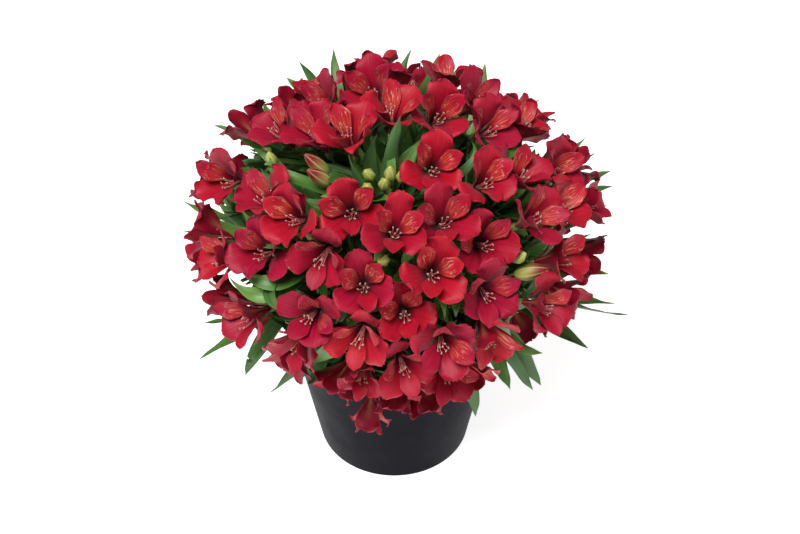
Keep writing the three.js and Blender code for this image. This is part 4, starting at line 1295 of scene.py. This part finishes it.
class LILY_OT_finishes(bpy.types.Operator):
    """Makes the finishes of the petals, leaves, stems, pot and soil"""

    bl_idname = "lily.finishes"
    bl_label = "Finishes"

    def execute(self, context):
        blooms, leaves = context.scene.lily_blooms, context.scene.lily_leaves
        pot = context.scene.lily_pot
        tepal_material("outer_tepal", blooms, False)
        tepal_material("streaked_tepal", blooms, True)
        tepal_material("lower_tepal", blooms, False)
        leaf_material(leaves)
        skin_material("stem_skin", leaves.stem, leaves.stem_red, 0.5)
        skin_material("ovary_skin", leaves.stem, leaves.ovary, 0.5)
        skin_material("bud_skin", leaves.bud, leaves.bud_ripe, 0.45, along=(0.25, 0.7))
        plain_material("filament", blooms.filament, blooms.filament_pale, 0.5, 300)
        plain_material("anther", blooms.anther, blooms.pollen, 0.8, 900)
        plain_material("bark_bits", pot.bark, pot.bark_dark, 0.9, 260)
        pot_material(pot)
        soil_material(pot)
        return {"FINISHED"}


class LILY_OT_undergrowth(bpy.types.Operator):
    """Lays out the leaves that fill the plant under its dome"""

    bl_idname = "lily.undergrowth"
    bl_label = "Inner leaves"

    def execute(self, context):
        stems = flowering_stems + leafy_shoots
        lay_undergrowth(stems, blooms_laid, context.scene.lily_leaves.inner)
        return {"FINISHED"}


class LILY_OT_flowering_stems(bpy.types.Operator):
    """Makes each flowering stem with its rays, ovaries, blooms, buds and leaves"""

    bl_idname = "lily.flowering_stems"
    bl_label = "Flowering stems"

    def execute(self, context):
        petal = context.scene.lily_blooms.thick / MM
        leaf = context.scene.lily_leaves.thick / MM
        for index, stem in enumerate(flowering_stems):
            work = new_work(f"blooming_stem_{index + 1:02d}", STEM_MATERIALS)
            add_stem(work, stem, BLOOM_STEM_RADIUS, draw(index, 61))
            for bloom in stem.head.blooms:
                add_bloom(work, bloom, petal)
            for bud in stem.head.buds:
                foot = bud.tip - bud.axis * bud.length
                radius = BUD_RADIUS * math.sqrt(bud.length / BUD_LENGTH)
                ripe = 1 if bud.number in RIPE_BUDS else 0
                add_bud(work, foot, bud.axis, bud.length, radius, ripe)
                shade = draw(bud.number, 63)
                add_ray(work, bud.start, foot, bud.axis, BUD_RAY_RADIUS, shade)
            finished(work, "flowers", stem.node)
            work = new_work(f"stem_leaves_{index + 1:02d}", ("leaf_blade",))
            for number, own in enumerate(stem.leaves):
                add_leaf(work, own, 14, 8, leaf, (index, number, 64))
            add_inner_leaves(work, stem, leaf)
            if stem.leaves or stem.inner:
                finished(work, "foliage", stem.node)
        return {"FINISHED"}


class LILY_OT_leafy_shoots(bpy.types.Operator):
    """Makes each leafy shoot with its lance-shaped leaves"""

    bl_idname = "lily.leafy_shoots"
    bl_label = "Leafy shoots"

    def execute(self, context):
        thick = context.scene.lily_leaves.thick / MM
        for index, stem in enumerate(leafy_shoots):
            work = new_work(f"leafy_stem_{index + 1:02d}", STEM_MATERIALS[6:])
            add_stem(work, stem, SHOOT_STEM_RADIUS, draw(index, 71))
            for number, own in enumerate(stem.leaves):
                add_leaf(work, own, 22, 8, thick, (index, number, 72), wave=1.6)
            add_inner_leaves(work, stem, thick)
            finished(work, "foliage", stem.node)
        return {"FINISHED"}


def turn_profile(mesh, profile, steps):
    """A round body from the radii and heights of its profile."""
    verts = [mesh.verts.new((radius * MM, 0, z * MM)) for radius, z in profile]
    edges = [mesh.edges.new(pair) for pair in zip(verts, verts[1:])]
    bmesh.ops.spin(
        mesh, geom=verts + edges, cent=(0, 0, 0), axis=(0, 0, 1), dvec=(0, 0, 0),
        angle=2 * math.pi, steps=steps, use_merge=True,
    )


class LILY_OT_pot(bpy.types.Operator):
    """Makes the moulded pot: a thin tapered wall with a lip and a floor with drain holes"""

    bl_idname = "lily.pot"
    bl_label = "Pot"

    def execute(self, context):
        settings = context.scene.lily_pot
        work = new_work("moulded_pot", ("pot_plastic",))
        mesh = work.mesh
        height, base = settings.height / MM, settings.base_radius / MM
        top = settings.top_radius / MM
        slope = (top - base) / height
        lip = height - LIP_HEIGHT
        profile = (
            (FLOOR_FROM, 0), (base, 0), (base + slope * lip, lip),
            (base + slope * lip + LIP_PROUD, lip), (top + LIP_PROUD, height),
            (top - POT_WALL, height), (base + slope * POT_FLOOR - POT_WALL, POT_FLOOR),
            (FLOOR_FROM, POT_FLOOR),
        )
        turn_profile(mesh, profile, POT_STEPS)
        close_floor(mesh)
        bmesh.ops.recalc_face_normals(mesh, faces=mesh.faces)
        creases = [
            edge for edge in mesh.edges
            if len(edge.link_faces) == 2 and edge.calc_face_angle(0) > SHARP
            and edge.verts[0].co.xy.length > BEVEL_FROM * MM
        ]
        bmesh.ops.bevel(
            mesh, geom=creases, offset=EDGE_BEVEL * MM, offset_type="OFFSET", segments=3,
            profile=0.5, affect="EDGES", material=-1,
        )
        paint(work, mesh.verts, "pot_plastic", 0)
        finished(work, "pot_plastic", "pot")
        return {"FINISHED"}


def close_floor(mesh):
    """Closes the pot's floor on both faces, with round drain holes through it."""
    edge_rings = []
    for level in (0, POT_FLOOR):
        rim = [
            edge for edge in mesh.edges
            if len(edge.link_faces) == 1 and abs(edge.verts[0].co.z - level * MM) < 1e-6
        ]
        holes = []
        for i in range(DRAIN_COUNT):
            spot = direction(360 * i / DRAIN_COUNT, 0) * DRAIN_CIRCLE
            ring = bmesh.ops.create_circle(
                mesh, segments=HOLE_STEPS, radius=DRAIN_RADIUS * MM,
                matrix=Matrix.Translation((spot.x * MM, spot.y * MM, level * MM)),
            )["verts"]
            holes.append(list({edge for vert in ring for edge in vert.link_edges}))
        edge_rings.append(holes)
        bmesh.ops.triangle_fill(
            mesh, use_beauty=True, edges=rim + [edge for hole in holes for edge in hole]
        )
    for lower, upper in zip(*edge_rings):
        bmesh.ops.bridge_loops(mesh, edges=lower + upper)


class LILY_OT_soil(bpy.types.Operator):
    """Makes the peat in the pot, with bits of bark on it"""

    bl_idname = "lily.soil"
    bl_label = "Soil"

    def execute(self, context):
        work = new_work("peat_soil", ("peat", "bark_bits"))
        mesh = work.mesh
        slope = (POT_TOP_RADIUS - POT_BASE_RADIUS) / POT_HEIGHT
        bottom = POT_FLOOR + FIT_GAP
        fill = POT_BASE_RADIUS - POT_WALL - FIT_GAP
        edge = fill + slope * (SOIL_TOP - 3)
        profile = [
            (edge * i / PEAT_RINGS, SOIL_TOP - PEAT_DROP) for i in range(PEAT_RINGS + 1)
        ]
        profile += [(fill + slope * bottom, bottom), (0, bottom)]
        turn_profile(mesh, profile, SOIL_STEPS)
        bmesh.ops.remove_doubles(mesh, verts=mesh.verts, dist=1e-6)
        bmesh.ops.recalc_face_normals(mesh, faces=mesh.faces)
        for vert in mesh.verts:
            if vert.co.z > (SOIL_TOP - 3) * MM:
                spot = Vector((vert.co.x, vert.co.y, 0)) / MM
                rough = noise.noise(spot / 9) * 1.5 + noise.noise(spot / 3.1) * 0.9
                fade = 1 - smooth(0.9, 1, spot.length / edge)
                vert.co.z += rough * fade * MM
        paint(work, mesh.verts, "peat", 0)
        for i in range(BARK_COUNT):
            reach = edge * 0.96 * math.sqrt((i + 0.5) / BARK_COUNT)
            spot = direction(i * GOLDEN_TURN, 0) * reach
            size = 1.3 + 2.2 * draw(i, 81)
            turn = Matrix.Rotation(6.3 * draw(i, 82), 4, "Z")
            turn @= Matrix.Rotation(sway(0.5, i, 83), 4, "X")
            stretch = Matrix.Diagonal((size * 1.5, size * 0.9, size * 0.45, 1))
            place = Matrix.Translation((spot.x * MM, spot.y * MM, (SOIL_TOP - 1.2) * MM))
            bit = bmesh.ops.create_icosphere(
                mesh, subdivisions=1, radius=MM, matrix=place @ turn @ stretch
            )["verts"]
            for number, vert in enumerate(bit):
                vert.co += Vector((sway(0.4, i, number, 1), sway(0.4, i, number, 2), 0)) * MM
            paint(work, bit, "bark_bits", draw(i, 84))
        finished(work, "potting_soil", "soil")
        return {"FINISHED"}


def add_light(scene, name, place, size, power):
    data = bpy.data.lights.new(name, "AREA")
    data.shape = "DISK"
    data.size = size
    data.energy = power
    light = bpy.data.objects.new(name, data)
    light.location = place
    light.rotation_euler = (MIDDLE - place).to_track_quat("-Z", "Y").to_euler()
    scene.collection.objects.link(light)


class LILY_OT_stage(bpy.types.Operator):
    """Makes the plain pale floor, the soft light and the camera"""

    bl_idname = "lily.stage"
    bl_label = "Stage"

    def execute(self, context):
        scene = context.scene
        settings = scene.lily_stage
        finish = Finish("pale_floor", 0.9, 0.1)
        cloudy = finish.ramp(finish.grain(finish.place("Object"), 2.0, 2), 0.3, 0.7)
        dimmer = [0.985 * c for c in settings.floor]
        finish.shade(**{
            "Base Color": finish.mix(cloudy, settings.floor, dimmer),
            "Emission Color": (1, 1, 1, 1), "Emission Strength": settings.glow,
        })
        mesh = bmesh.new()
        bmesh.ops.create_circle(mesh, cap_ends=True, segments=64, radius=FLOOR_RADIUS)
        data = bpy.data.meshes.new("studio_floor")
        mesh.to_mesh(data)
        mesh.free()
        data.materials.append(bpy.data.materials[FINISH + "pale_floor"])
        floor = bpy.data.objects.new("studio_floor", data)
        scene.collection.objects.link(floor)

        world = bpy.data.worlds.new("studio_world")
        world.use_nodes = True
        background = world.node_tree.nodes["Background"]
        background.inputs["Color"].default_value = (1, 1, 1, 1)
        background.inputs["Strength"].default_value = settings.sky
        scene.world = world

        add_light(scene, "key_light", KEY_PLACE, KEY_SIZE, settings.key)
        add_light(scene, "fill_light", FILL_PLACE, FILL_SIZE, settings.key * FILL_SHARE)

        back = Vector((0, -math.cos(settings.elevation), math.sin(settings.elevation)))
        camera_data = bpy.data.cameras.new("camera")
        camera_data.lens = settings.focal
        camera_data.sensor_width = 36
        camera_data.clip_end = 50
        camera = bpy.data.objects.new("camera", camera_data)
        camera.location = MIDDLE + back * settings.distance
        camera.rotation_euler = (math.pi / 2 - settings.elevation, 0, 0)
        scene.collection.objects.link(camera)
        scene.camera = camera
        scene.view_settings.view_transform = "Standard"
        scene.view_settings.look = "None"
        return {"FINISHED"}


class LILY_PT_panel(bpy.types.Panel):
    """Lists the pieces of the lily and their settings"""

    bl_idname = "LILY_PT_panel"
    bl_label = "Potted Lily"
    bl_space_type = "VIEW_3D"
    bl_region_type = "UI"
    bl_category = "Lily"

    def draw(self, context):
        for group in SETTINGS:
            box = self.layout.box()
            for name in getattr(context.scene, group).bl_rna.properties.keys():
                if name not in ("rna_type", "name"):
                    box.prop(getattr(context.scene, group), name)
        for operator in OPERATORS:
            self.layout.operator(operator.bl_idname)


SETTINGS = {
    "lily_blooms": LilyBloomSettings,
    "lily_leaves": LilyLeafSettings,
    "lily_pot": LilyPotSettings,
    "lily_stage": LilyStageSettings,
}
OPERATORS = (
    LILY_OT_finishes,
    LILY_OT_undergrowth,
    LILY_OT_flowering_stems,
    LILY_OT_leafy_shoots,
    LILY_OT_pot,
    LILY_OT_soil,
    LILY_OT_stage,
)


def register():
    for cls in (*SETTINGS.values(), *OPERATORS, LILY_PT_panel):
        bpy.utils.register_class(cls)
    for name, cls in SETTINGS.items():
        setattr(bpy.types.Scene, name, PointerProperty(type=cls))


def unregister():
    for name in SETTINGS:
        delattr(bpy.types.Scene, name)
    for cls in reversed((*SETTINGS.values(), *OPERATORS, LILY_PT_panel)):
        bpy.utils.unregister_class(cls)


flowering_stems, leafy_shoots, blooms_laid = lay_plant()


def main():
    register()
    bpy.ops.lily.finishes()
    bpy.ops.lily.undergrowth()
    bpy.ops.lily.flowering_stems()
    bpy.ops.lily.leafy_shoots()
    bpy.ops.lily.pot()
    bpy.ops.lily.soil()
    bpy.ops.lily.stage()


if __name__ == "__main__":
    main()
